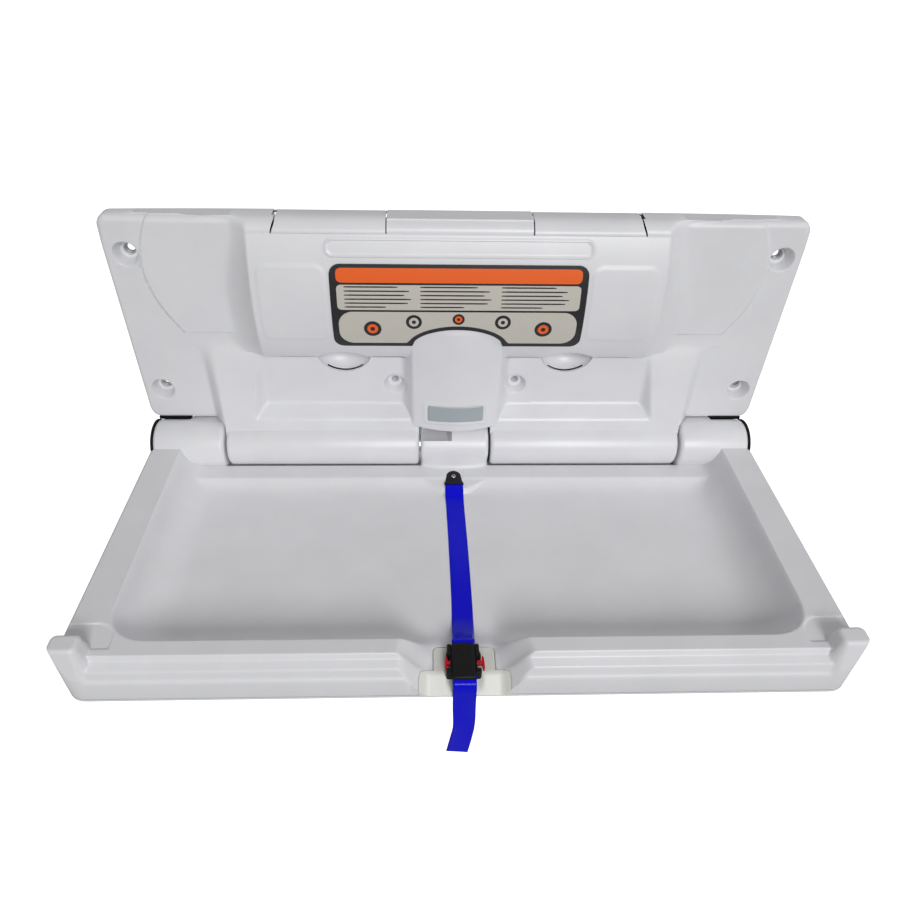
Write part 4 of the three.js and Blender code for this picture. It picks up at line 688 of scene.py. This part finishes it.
TRAY_HALF, TRAY_REACH, RIM, PARTING = 425, 386, 14, -38
FLOOR, LEDGE, NOTCH_FLOOR = -34, -21, -21.6
COVE, WALL_TILT = 50, np.radians(67)
FLOOR_HALF, FLOOR_REAR, FLOOR_FRONT = 329.5, 86.6, 296.5
INSERT_REAR, INSERT_FRONT = 338, 387.5


def basin_wall(run):
    """Height above the basin's floor at a run outside it: an arc of the cove's radius, then a straight steep wall."""
    bend = COVE * np.sin(WALL_TILT)
    arc = COVE - np.sqrt(COVE ** 2 - np.clip(run, 0, bend) ** 2)
    return arc + np.maximum(run - bend, 0) * np.tan(WALL_TILT)


def front_steps(u):
    """Height of the stepped front: straight stretches between its edges, averaged over 1.6 mm to round them."""
    out = [362, 368.8, 370.2, 371.4, 381.0, 382.0, 382.8, 385.4, 386.2, 388]
    up = [14.6, 14.0, 11.0, 7.6, 2.4, -1.5, -7.5, -10.6, -14.2, -30]
    return np.mean([np.interp(u + shift, out, up) for shift in np.linspace(-0.8, 0.8, 9)], axis=0)


def saddle(u):
    """Height of the tongue of the ledge that carries the strap bracket: a gentle slope."""
    return -21.6 - 0.085 * (u - 39)


def notch_cheek(a, u):
    """Height of the notch at a distance from the middle: floor, cheeks of a smooth S, set wider towards
    the front, and a front that slopes down from a rounded ridge."""
    wider = ease((u - 344) / 24)
    sides = NOTCH_FLOOR + (RIM + 1 - NOTCH_FLOOR) * ease((a - 30 - 8 * wider) / (42 - 3 * wider))
    return sides - 0.95 * soft_max(u - 370, 0, 3)


def insert_outline(u):
    """Half width of the front insert: a neck with rounded corners, then shoulders that round into the foot."""
    shoulder = np.clip((u - 367) / 12, 0, 1)
    arc = np.sqrt(1 - (1 - shoulder) ** 2)
    return 33.4 - rounded(u - INSERT_REAR, 5.5) + 15.7 * (0.45 + 0.55 * arc) * ease(shoulder * 10)


def tray_height(x, u):
    """Height of the tray's upper face: rim with rounded edges, basin by its wall, ledge, trough under the tube,
    saddle, notch with S-shaped cheeks, stepped front, hooks and pads, joined by rounded maxima and minima."""
    a = np.abs(x)
    plan = inside(x, u - 186, TRAY_HALF, 200, 24)
    height = np.minimum(RIM - rounded(plan, 5), front_steps(u))
    across, ahead = np.maximum(a - FLOOR_HALF, 0), np.maximum(u - FLOOR_FRONT, 0)
    sides = FLOOR + basin_wall((across ** 2.5 + ahead ** 2.5) ** 0.4)
    rear = soft_min(FLOOR + basin_wall(np.maximum(FLOOR_REAR - u, 0)), LEDGE, 1.2)
    height = soft_min(height, soft_max(sides, rear, 6), 3)

    wide = np.minimum(47 - 1.69 * (u - 53.5), 49)
    outside = np.maximum(np.maximum(0.51 * (a - wide), u - 72), 0)
    height = np.where(u < 92, soft_max(height, saddle(u) - 1.9 * outside, 1.2), height)
    trough = -np.sqrt(np.clip(33.4 ** 2 - u ** 2, 0, None))
    height = np.where((u < 34) & (a < 332), soft_min(height, np.where(u < 33, trough, 0), 0.8), height)

    blend = 0.5 + 8 * ease((78 - a) / 24)
    height = np.where((u > 290) & (a < 78), soft_min(height, notch_cheek(a, u), blend), height)
    seam = np.minimum(insert_outline(u) + 1 - a, u - INSERT_REAR + 1)
    height = np.where(u > 330, height - 2.8 * ease(seam / 0.6 + 0.2), height)
    height = np.where((u > 372) & (a < insert_outline(u) - 1.2), np.minimum(height, -34), height)

    pad = inside(a - 396.5, u - 343.5, 25.5, 16.5, 2)
    pad = np.minimum(pad, 22 - np.hypot(np.maximum(393 - a, 0), np.maximum(349 - u, 0)))
    height = height - 1.5 * ease(pad / 1.6 + 0.3)
    post = inside(a - 409.3, u - 366.5, 15.7, 11.7, 7)
    head = np.where(post > 0, 34 - rounded(post, 5), 29 + 4.6 * post)
    return np.where(a > 370, soft_max(height, head, 5), height)


tray_x = mirrored(grid_lines((0, 4), (24, 1.6), (31, 0.7), (37, 1.6), (48.6, 0.6), (51, 1.3), (74, 5),
                             (320, 1.6), (324.8, 1.2), (326, 3), (356, 1.5), (384, 1.25), (418, 0.9), (TRAY_HALF, 1)))
tray_u = grid_lines((-5, 1.6), (15, 1.2), (34, 2), (46, 1), (76, 2.2), (92, 5), (286, 2.4), (322, 1.6),
                    (334, 0.7), (341, 1.2), (362, 0.6), (TRAY_REACH, 1))
X, U = np.meshgrid(tray_x, tray_u)
corner_x, corner_u = np.abs(X) - TRAY_HALF + 24, U - TRAY_REACH + 24
round_x, round_u = square_to_round(corner_x, corner_u)
TX, TU = X + np.sign(X) * (round_x - corner_x), U + round_u - corner_u
tray_points = on_tray(TX, TU, tray_height(TX, TU))
mid_x, mid_u = np.meshgrid(np.abs(tray_x[:-1] + tray_x[1:]) / 2, (tray_u[:-1] + tray_u[1:]) / 2)
kept = ~((mid_x > 421) & (mid_u < 34)) & ~((mid_x > 332) & (mid_u < 15))
index = np.arange(X.size).reshape(X.shape)
cells = np.stack([index[:-1, :-1], index[1:, :-1], index[1:, 1:], index[:-1, 1:]], -1)


def tray_edges(kept, cells):
    """Border edges of kept cells whose rows run outwards: each side faces the cell's own neighbour."""
    room = np.pad(kept, 1)
    sides = [(room[1:-1, :-2], 0, 1), (room[2:, 1:-1], 1, 2), (room[1:-1, 2:], 2, 3), (room[:-2, 1:-1], 3, 0)]
    return np.concatenate([cells[kept & ~other][:, [i, j]] for other, i, j in sides])


def skirt_below(points, edges, level):
    """Upright walls from border edges down to a level below the hinge axis, one four-sided face an edge."""
    a, b = points[edges[:, 0]], points[edges[:, 1]]
    foot = np.array((0, 0, level - 178.75))
    walls = np.stack([b, a, a * (1, 1, 0) + foot, b * (1, 1, 0) + foot], 1)
    return walls.reshape(-1, 3), np.arange(4 * len(edges)).reshape(-1, 4)


tray_skirt = skirt_below(tray_points, tray_edges(kept, cells), PARTING)


def side_barrel(side):
    """A tray barrel about the hinge axis with rounded ends. Up to the bracket it swells at the top rear,
    which closes the gap under the panel's flange."""
    profile = barrel_profile(325, 423, 34.2, 15.4, 5.5)
    profile = np.insert(profile, len(profile) // 2, [(377, 34.2), (379, 34.2)], axis=0)
    x, up, out, faces = turned(profile, 96)
    turn = np.degrees(np.arctan2(up, out)) % 360
    swell = 1 + 0.2 * ease((turn - 108) / 40) * ease((190 - turn) / 40) * (x < 378)
    return outward(on_tray(side * x, out * swell, up * swell), faces)


KNUCKLE, POCKET, POCKET_FLOOR, POCKET_REAR = 48.3, (-45.5, -4.0), 15.4, 15.2


def knuckle():
    """Middle knuckle: a circle that runs down into a bowed apron, carried along X, with rounded ends
    and a pocket left open in its top for the damper's yoke."""
    angle = np.radians(np.linspace(-130, -360, 70))
    apron = np.array([(31.2, -4), (31.5, -9), (31.8, -14), (32.3, -17.6), (34.2, -19.8), (37, -21.0), (39, -21.6),
                      (39, -24), (36, -36)])
    out = np.concatenate([31 * np.cos(angle), apron[:, 0]])
    up = np.concatenate([31 * np.sin(angle), apron[:, 1]])
    fall = np.clip((0 - up) / 21, 0, 1) * (out > 25)
    t = np.radians(np.linspace(0, 90, 7))
    end_x, end_s = KNUCKLE - 5 * (1 - np.sin(t)), 1 - 5 * (1 - np.cos(t)) / 31
    half_x = np.concatenate([np.linspace(0, KNUCKLE - 5.3, 22)[:-1], end_x, [KNUCKLE]])
    half_s = np.concatenate([np.ones(21), end_s, [15.4 / 31]])
    x, shrink = np.concatenate([-half_x[:0:-1], half_x]), np.concatenate([half_s[:0:-1], half_s])
    bow = 12 * (1 - np.sqrt(np.clip(1 - (x / 49.5) ** 2, 0, 1)))
    U2 = (out[None, :] - fall[None, :] * bow[:, None]) * shrink[:, None]
    W2 = up[None, :] * np.where(up[None, :] > -15, shrink[:, None], 1)
    faces = sheet_faces(len(x), len(out))
    middle = np.repeat(((x[:-1] + x[1:]) / 2)[:, None], len(out) - 1, 1).ravel()
    turn_mid = np.concatenate([(angle[:-1] + angle[1:]) / 2, np.full(len(apron), -2 * np.pi)])
    turn_mid = np.degrees(np.tile(turn_mid[:len(out) - 1], len(x) - 1)) + 360
    open_top = (middle > POCKET[0]) & (middle < POCKET[1]) & (turn_mid > 42) & (turn_mid < 210)
    return on_tray(x[:, None], U2, W2), faces[~open_top]


def pocket():
    """Inside of the knuckle's pocket: a level floor and an upright rear wall about the hinge line, which leave
    the yoke its room as the tray folds, and flat ends, the right one sloped at the front."""
    turn = np.linspace(42, 210, 43)
    ahead, rise = np.cos(np.radians(turn)), np.sin(np.radians(turn))
    core = np.minimum(POCKET_FLOOR / np.maximum(rise, 1e-3), POCKET_REAR / np.maximum(-ahead, 1e-3))
    skin, left, right = np.full(43, 31.0), np.full(43, POCKET[0]), np.full(43, POCKET[1])
    radius = np.stack([skin, core, core, skin])
    x = np.stack([left, left, right - 6 * (1 - ease((turn - 96) / 10)), right])
    corners = np.arange(4) * 43
    faces = np.concatenate([sheet_faces(4, 43)[:, ::-1], [corners[::-1], corners + 42]])
    return on_tray(x, radius * ahead, radius * rise), faces


put("tray_top", [(tray_points, cells[kept]), tray_skirt, side_barrel(1), side_barrel(-1), knuckle(), pocket()],
    grey_polyethylene, "tray", ["tray_top"])


# Tray cover: the bed's underside in the same polyethylene, a shallow dish with two stiffening panels,
# held from below by six pan-head screws.
def cover_drop(x, u):
    """Height of the underside: slopes at front and rear, rounded sides, and two panels pressed in by 3 mm."""
    run = np.minimum(u - 15, TRAY_REACH - u)
    side = inside(x, u - 200.5, TRAY_HALF, 185.5, 24)
    drop = -42 - 11 * ease(run / 40) + rounded(side, 8) * ease(run / 20)
    panel = inside(np.abs(x) - 205, u - 202, 165, 105, 30)
    return drop + 3 * ease(panel / 14)


cover_x = mirrored(grid_lines((0, 6), (30, 3), (60, 6), (350, 3), (390, 6), (415, 1.5), (TRAY_HALF, 1)))
cover_u = grid_lines((15, 3), (55, 5), (90, 3), (125, 8), (280, 3), (340, 3), (TRAY_REACH, 1))
X, U = np.meshgrid(cover_x, cover_u)
corner_x, corner_u = np.abs(X) - TRAY_HALF + 24, U - TRAY_REACH + 24
round_x, round_u = square_to_round(corner_x, corner_u)
TX, TU = X + np.sign(X) * (round_x - corner_x), U + round_u - corner_u
cover_points = on_tray(TX, TU, cover_drop(TX, TU))
kept = np.ones((len(cover_u) - 1, len(cover_x) - 1), bool)
index = np.arange(X.size).reshape(X.shape)
cells = np.stack([index[:-1, :-1], index[1:, :-1], index[1:, 1:], index[:-1, 1:]], -1)
cover_skirt = skirt_below(cover_points, tray_edges(kept, cells)[:, ::-1], PARTING - 0.4)
put("tray_cover", [(cover_points, cells.reshape(-1, 4)[:, ::-1]), cover_skirt],
    grey_polyethylene, "tray", ["tray_cover"])


def star_screw(radius, height, length, shank):
    """A pan head with a six-lobed recess: rings of radius over the angle, lobes by a cosine of six turns."""
    angle = np.linspace(0, 2 * np.pi, 72, endpoint=False)
    lobe = 0.42 * radius * (1 + 0.2 * np.cos(6 * angle))
    rings = [(0.01, -length), (shank, -length), (shank, 0), (radius, 0), (radius, 0.35 * height),
             (0.93 * radius, 0.7 * height), (0.76 * radius, height), (lobe * 1.08, height), (lobe, 0.9 * height),
             (lobe, 0.25 * height), (0.01, 0.2 * height)]
    r = np.stack([ring + 0 * angle for ring, _ in rings])
    z = np.stack([np.full(72, level) for _, level in rings])
    return r * np.cos(angle), r * np.sin(angle), z, sheet_faces(len(rings), 72, False, True)


for number, (u, x) in enumerate([(u, x) for u in (105, 300) for x in (-280, 0, 280)]):
    sx, sy, sz, sfaces = star_screw(4, 1.8, 9, 2)
    seat = float(cover_drop(np.array(float(x)), np.array(float(u))))
    put("cover_screw_%d" % (number + 1), [outward(on_tray(x + sx, u + sy, seat - sz), sfaces)],
        plated_steel, "tray", ["cover_screw_%d" % (number + 1)])


# Front insert: an ivory block in the rim's notch. Its neck lies under the buckle, its wide foot
# follows the tray's front, with a shallow dip for the hanging strap.
ivory = finish("moulded_ivory_polyethylene", lambda tree: {
    "Base Color": srgb("dddfd8"), "IOR": 1.53, "Subsurface Weight": 0.05, "Subsurface Scale": 0.004,
    "Roughness": add(tree, "MapRange", {
        "Value": add(tree, "TexNoise", {"Vector": add(tree, "TexCoord").outputs["Object"],
                                        "Scale": 600.0}).outputs["Fac"],
        "To Min": 0.38, "To Max": 0.46}).outputs["Result"]})
insert_lines = grid_lines((INSERT_REAR, 0.5), (342.5, 1.6), (364, 0.4), (369, 0.9), (INSERT_FRONT, 1))
s, insert_u = np.meshgrid(np.linspace(-1, 1, 73), insert_lines)
insert_half = insert_outline(insert_u)
insert_x = s * insert_half
inset = np.minimum((1 - np.abs(s)) * insert_half, insert_u - INSERT_REAR)
dip = 3.4 * (1 - ease((np.abs(insert_x) - 14) / 8))
dip = dip * ease((insert_u - 366) / 8) * (1 - ease((insert_u - 372) / 15))
insert_w = notch_cheek(np.abs(insert_x), insert_u) + 0.6 - rounded(inset, 0.7) - dip
insert_top = on_tray(insert_x, insert_u, insert_w)
index = np.arange(s.size).reshape(s.shape)
cells = np.stack([index[:-1, :-1], index[1:, :-1], index[1:, 1:], index[:-1, 1:]], -1)
edges = tray_edges(np.ones((len(insert_lines) - 1, 72), bool), cells)
put("front_insert", [(insert_top, cells.reshape(-1, 4)), skirt_below(insert_top, edges, PARTING)],
    ivory, "tray", ["front_insert"])


# Strap bracket: a black moulded tongue with a round end, screwed to the saddle behind the knuckle.
# A bar along its front edge holds the webbing.
def slab(outline, base, top, edge, middle):
    """A plate of an outline: walls, a rounded upper edge of rings that shrink towards the middle, and a lid."""
    outline, middle = np.asarray(outline, float), np.asarray(middle, float)
    t = np.radians(np.linspace(0, 90, 5))
    reach = np.linalg.norm(outline - middle, axis=1)[:, None]
    levels = [(0, base)] + list(zip(edge * (1 - np.cos(t)), top - edge + edge * np.sin(t)))
    tip = middle + (outline - middle) * 0.02
    rings = [tip] + [middle + (outline - middle) * (1 - inset / reach) for inset, _ in levels] + [tip]
    z = [np.full(len(outline), level) for level in [base] + [level for _, level in levels] + [top]]
    xy = np.stack(rings)
    return xy[..., 0], xy[..., 1], np.stack(z), sheet_faces(len(rings), len(outline), False, True)


saddle_tilt = np.arctan(0.085)


def on_saddle(x, along, lift):
    """Points on the saddle's slope: along it from its head, and off it."""
    out = 39 + along * np.cos(saddle_tilt) + lift * np.sin(saddle_tilt)
    return on_tray(x - 1.6, out, saddle(39) - along * np.sin(saddle_tilt) + lift * np.cos(saddle_tilt))


tongue = np.concatenate([quarter((0, 10.8), 10.3, 180, 360, 25), [(12.6, 25), (12.6, 27), (-12.6, 27), (-12.6, 25)]])
bx, by, bz, bfaces = slab(tongue, -0.3, 2.0, 0.8, (0, 15))
bar_outline = np.concatenate([quarter((12, 25.8), 1.7, -90, 90, 7), quarter((-12, 25.8), 1.7, 90, 270, 7)])
cx, cy, cz, cfaces = slab(bar_outline, -0.3, 3.6, 1.0, (0, 25.8))
put("strap_bracket", [outward(on_saddle(bx, by, bz), bfaces), outward(on_saddle(cx, cy, cz), cfaces)],
    black_nylon, "tray", ["strap_bracket"])
sx, sy, sz, sfaces = star_screw(3.4, 1.7, 6, 1.9)
put("strap_screw", [outward(on_saddle(sx, 11.4 + sy, 1.0 + sz), sfaces)], plated_steel, "tray",
    ["strap_screw"])


# Strap: royal blue polyester webbing of 25.4 mm, woven close with a glossy face and thick selvedges.
# It lies on the basin's floor from the bracket to the buckle, and its tail hangs over the front.
def webbing(tree):
    """Woven face: ribs across every 1.3 mm and warp lines every 1.6 mm, drawn coarser than the real 0.6 mm."""
    spot = add(tree, "UVMap", uv_map="along").outputs["UV"]
    place = add(tree, "SeparateXYZ", {"Vector": spot})
    ribs = add(tree, "TexWave", {"Vector": spot, "Scale": 0.245, "Distortion": 0.4}, bands_direction="Y")
    warp = add(tree, "TexWave", {"Vector": spot, "Scale": 0.2, "Distortion": 0.2}, bands_direction="X")
    weave = add(tree, "Math", {0: ribs.outputs["Fac"], 1: warp.outputs["Fac"]}, operation="MULTIPLY")
    edge = add(tree, "Math", {0: place.outputs["X"]}, operation="ABSOLUTE")
    rim = add(tree, "MapRange", {"Value": edge.outputs[0], "From Min": 10.6, "From Max": 12.4})
    tone = add(tree, "Mix", {"Factor": rim.outputs["Result"], "A": srgb("0709d0"), "B": srgb("0606ac")},
               data_type="RGBA")
    gloss = add(tree, "MapRange", {"Value": weave.outputs[0], "To Min": 0.24, "To Max": 0.28})
    bump = add(tree, "Bump", {"Height": weave.outputs[0], "Strength": 0.035, "Distance": 0.0003})
    return {"Base Color": tone.outputs["Result"], "Roughness": gloss.outputs["Result"], "IOR": 1.54,
            "Specular IOR Level": 0.16, "Normal": bump.outputs["Normal"]}


blue_webbing = finish("royal_blue_polyester_webbing", webbing)


def smooth_path(points, count):
    """A curve through points, evenly spaced: cubic pieces whose slopes come from the neighbours."""
    points = np.asarray(points, float)
    slopes = np.gradient(points, axis=0)
    t = np.linspace(0, len(points) - 1, 40 * len(points))
    i = np.clip(t.astype(int), 0, len(points) - 2)
    f = (t - i)[:, None]
    curve = ((2 * f ** 3 - 3 * f ** 2 + 1) * points[i] + (f ** 3 - 2 * f ** 2 + f) * slopes[i]
             + (3 * f ** 2 - 2 * f ** 3) * points[i + 1] + (f ** 3 - f ** 2) * slopes[i + 1])
    length = np.concatenate([[0], np.cumsum(np.linalg.norm(np.diff(curve, axis=0), axis=1))])
    even = np.linspace(0, length[-1], count)
    return np.stack([np.interp(even, length, curve[:, k]) for k in range(3)], -1), even


def ribbon(points, twist, count):
    """Webbing along a curve: a flat section with round selvedges, carried across the path's own direction."""
    path, length = smooth_path(points, count)
    ahead = np.gradient(path, axis=0)
    ahead /= np.linalg.norm(ahead, axis=1)[:, None]
    lean = np.interp(np.linspace(0, 1, count), np.linspace(0, 1, len(twist)), np.radians(twist))[:, None]
    across = np.array((1.0, 0, 0)) - ahead * ahead[:, :1]
    across /= np.linalg.norm(across, axis=1)[:, None]
    normal = np.cross(across, ahead)
    across, normal = across * np.cos(lean) + normal * np.sin(lean), normal * np.cos(lean) - across * np.sin(lean)
    half, thick = 12.7, 0.8
    arcs = np.concatenate([quarter((half - thick, 0), thick, -90, 90, 7),
                           quarter((-half + thick, 0), thick, 90, 270, 7)])
    flat = np.linspace(-half + thick, half - thick, 11)[1:-1]
    upper = np.stack([flat[::-1], 0.8 - 0.12 * np.cos(flat[::-1] / 11.9 * np.pi / 2)], -1)
    lower = np.stack([flat, -0.8 + 0.12 * np.cos(flat / 11.9 * np.pi / 2)], -1)
    section = np.concatenate([arcs[:7], upper, arcs[7:], lower])
    spots = path[:, None] + across[:, None] * section[None, :, :1] + normal[:, None] * section[None, :, 1:]
    texture = np.stack(np.broadcast_arrays(section[None, :, 0], length[:, None]), -1).reshape(-1, 2)
    n = len(section)
    faces = sheet_faces(count, n, False, True).tolist()
    faces += [list(range(n))[::-1], list(range((count - 1) * n, count * n))]
    return on_tray(*spots.reshape(-1, 3).T), faces, texture


def put_ribbon(name, points, twist, count):
    """A stretch of webbing as a piece of the tray, with its width and length as texture."""
    spots, faces, texture = ribbon(points, twist, count)
    mesh = bpy.data.meshes.new(name)
    mesh.from_pydata((spots / 1000).tolist(), [], faces)
    corners = np.empty(len(mesh.loops), np.int32)
    mesh.loops.foreach_get("vertex_index", corners)
    mesh.uv_layers.new(name="along").data.foreach_set("uv", texture[corners].ravel())
    mesh.polygons.foreach_set("use_smooth", np.ones(len(mesh.polygons), bool))
    mesh.set_sharp_from_angle(angle=np.radians(50))
    mesh.materials.append(blue_webbing)
    made = bpy.data.objects.new(name, mesh)
    bpy.context.collection.objects.link(made)
    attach(made, "tray")
    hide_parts(name)
    return made


put_ribbon("strap", [(-1.5, 63, -22.6), (-1.5, 67, -23.0), (-1.4, 72, -23.7), (-1.3, 77, -26.6),
                     (-1.1, 84, -30.6), (-0.9, 94, -32.7), (-0.6, 112, -32.9), (0.4, 160, -32.9),
                     (1.2, 220, -32.9), (1.5, 270, -32.9), (1.2, 294, -32.2), (0.8, 310, -28), (0.3, 322, -21.6),
                     (-0.2, 330, -15.2), (-0.4, 335, -11), (-0.5, 337.4, -10.4), (-0.6, 339.6, -11.9),
                     (-0.6, 342, -13.1), (-0.6, 346, -13.4)], [0, 0, 0], 240)
put_ribbon("strap_tail", [(-0.6, 379, -13.2), (-0.6, 383.6, -13.6), (-0.6, 388.4, -16.4), (-0.5, 390.2, -24),
                          (-0.4, 390.4, -38), (-0.2, 390.7, -52), (0.2, 391.2, -66), (0.6, 392, -80),
                          (0.2, 392.8, -94), (-1.4, 393.4, -108), (-3.4, 393.8, -124), (-5.8, 394.2, -142)],
           [0, 0, 0, -3, -8, -9, -4, -1, 0], 120)


# Buckle: a black side-release housing with a raised lid plate and a rail on either side,
# and a red thumb lever in each rail's gap.
BUCKLE, BUCKLE_X, BUCKLE_FOOT, BUTTON_GAP = (341.2, 383.2), -1.1, -20.6, (356.0, 372.2)


def buckle_top(x, u):
    """Height of the housing's upper face: lid plate in the middle, grooves beside it, rails outside, rounded edges."""
    a = np.abs(x)
    lid = 13.0 - 0.9 * (a / 12.2) ** 2 - rounded(12.3 - a, 1.0) - 0.8 * ease((u - 376.5) / 6)
    rail = 11.4 - rounded(19 - a, 2.2)
    groove = np.where((a > 12.3) & (a < 13.4), 9.6, rail)
    height = np.where(a < 12.3, lid, groove)
    return height - rounded(np.minimum(u - BUCKLE[0], BUCKLE[1] - u), 1.4)


def buckle_half(u):
    """Half width of the housing: narrow at the rear, wider past the levers' gaps, drawn in at the front."""
    return 17.6 + 1.4 * ease((u - 349.5) / 4) - 1.2 * ease((u - 376.5) / 6)


buckle_u = grid_lines((BUCKLE[0], 0.5), (343.6, 1.2), (BUTTON_GAP[0], 1.1), (BUTTON_GAP[1], 1.2), (380, 0.5),
                      (BUCKLE[1], 1))
buckle_s = np.concatenate([np.linspace(0, 12.2, 9), [12.35, 13.3, 13.5], np.linspace(14.2, 19, 8)]) / 19
S, U = np.meshgrid(mirrored(buckle_s), buckle_u)
BX = S * 19
BX = np.where(np.abs(BX) > 13.5, np.sign(BX) * (13.5 + (np.abs(BX) - 13.5) * (buckle_half(U) - 13.5) / 5.5), BX)
BU = U + (1.2 * (1 - (BX / 19) ** 2) - 5.2 * (np.abs(BX) > 12.3)) * ease((U - 375.5) / 9)
buckle_points = on_tray(BX + BUCKLE_X, BU, buckle_top(S * 19, U) - 20.7)
mid_s, mid_u = np.meshgrid(np.abs(S[0, :-1] + S[0, 1:]) / 2 * 19, (buckle_u[:-1] + buckle_u[1:]) / 2)
kept = ~((mid_s > 14.5) & (mid_u > BUTTON_GAP[0]) & (mid_u < BUTTON_GAP[1]))
index = np.arange(S.size).reshape(S.shape)
cells = np.stack([index[:-1, :-1], index[1:, :-1], index[1:, 1:], index[:-1, 1:]], -1)
edges = tray_edges(kept, cells)
middle = buckle_points[edges].mean(axis=1)
lever_slot = (np.abs(middle[:, 0] - BUCKLE_X) < 14.6) & (np.abs(middle[:, 1] + 45 + 363.4) < 2.7)
buckle_skirt = skirt_below(buckle_points, edges[~lever_slot], BUCKLE_FOOT)
buckle_foot = (buckle_points * (1, 1, 0) + (0, 0, BUCKLE_FOOT - 178.75), cells[kept][:, ::-1])
put("buckle_body", [(buckle_points, cells[kept]), buckle_skirt, buckle_foot], black_nylon, "tray",
    ["buckle_body"])
tongue_plate = np.concatenate([quarter((6, 346), 1.5, -90, 0, 5), quarter((6, 374), 1.5, 0, 90, 5),
                               quarter((-6, 374), 1.5, 90, 180, 5), quarter((-6, 346), 1.5, 180, 270, 5)])
tx, ty, tz, tfaces = slab(tongue_plate, -16.4, -12.8, 0.6, (0, 360))
put("buckle_tongue", [outward(on_tray(tx + BUCKLE_X, ty, tz), tfaces)], black_nylon, "tray",
    ["buckle_tongue"])

red_acetal = finish("red_moulded_acetal", black_coat("c3121f", 0.28, 0.36, 800.0, 0.05))
lever = np.concatenate([[(14, 361.8), (19.6, 361.6)], quarter((21, 357.4), 1.0, 180, 360, 6),
                        [(22.6, 364)], quarter((21.6, 370.8), 1.0, 0, 180, 6), [(20.1, 365.2), (14, 365)]])
for name, side, inset in (("right", 1, 0), ("left", -1, 2.4)):
    put_prism("buckle_button_" + name, [(BUCKLE_X + side * (x - inset), u) for x, u in lever], -17, -11.2, [0, 1, 2],
              on_tray, red_acetal, "buckle_button_" + name, ["buckle_button_" + name], 0.4)
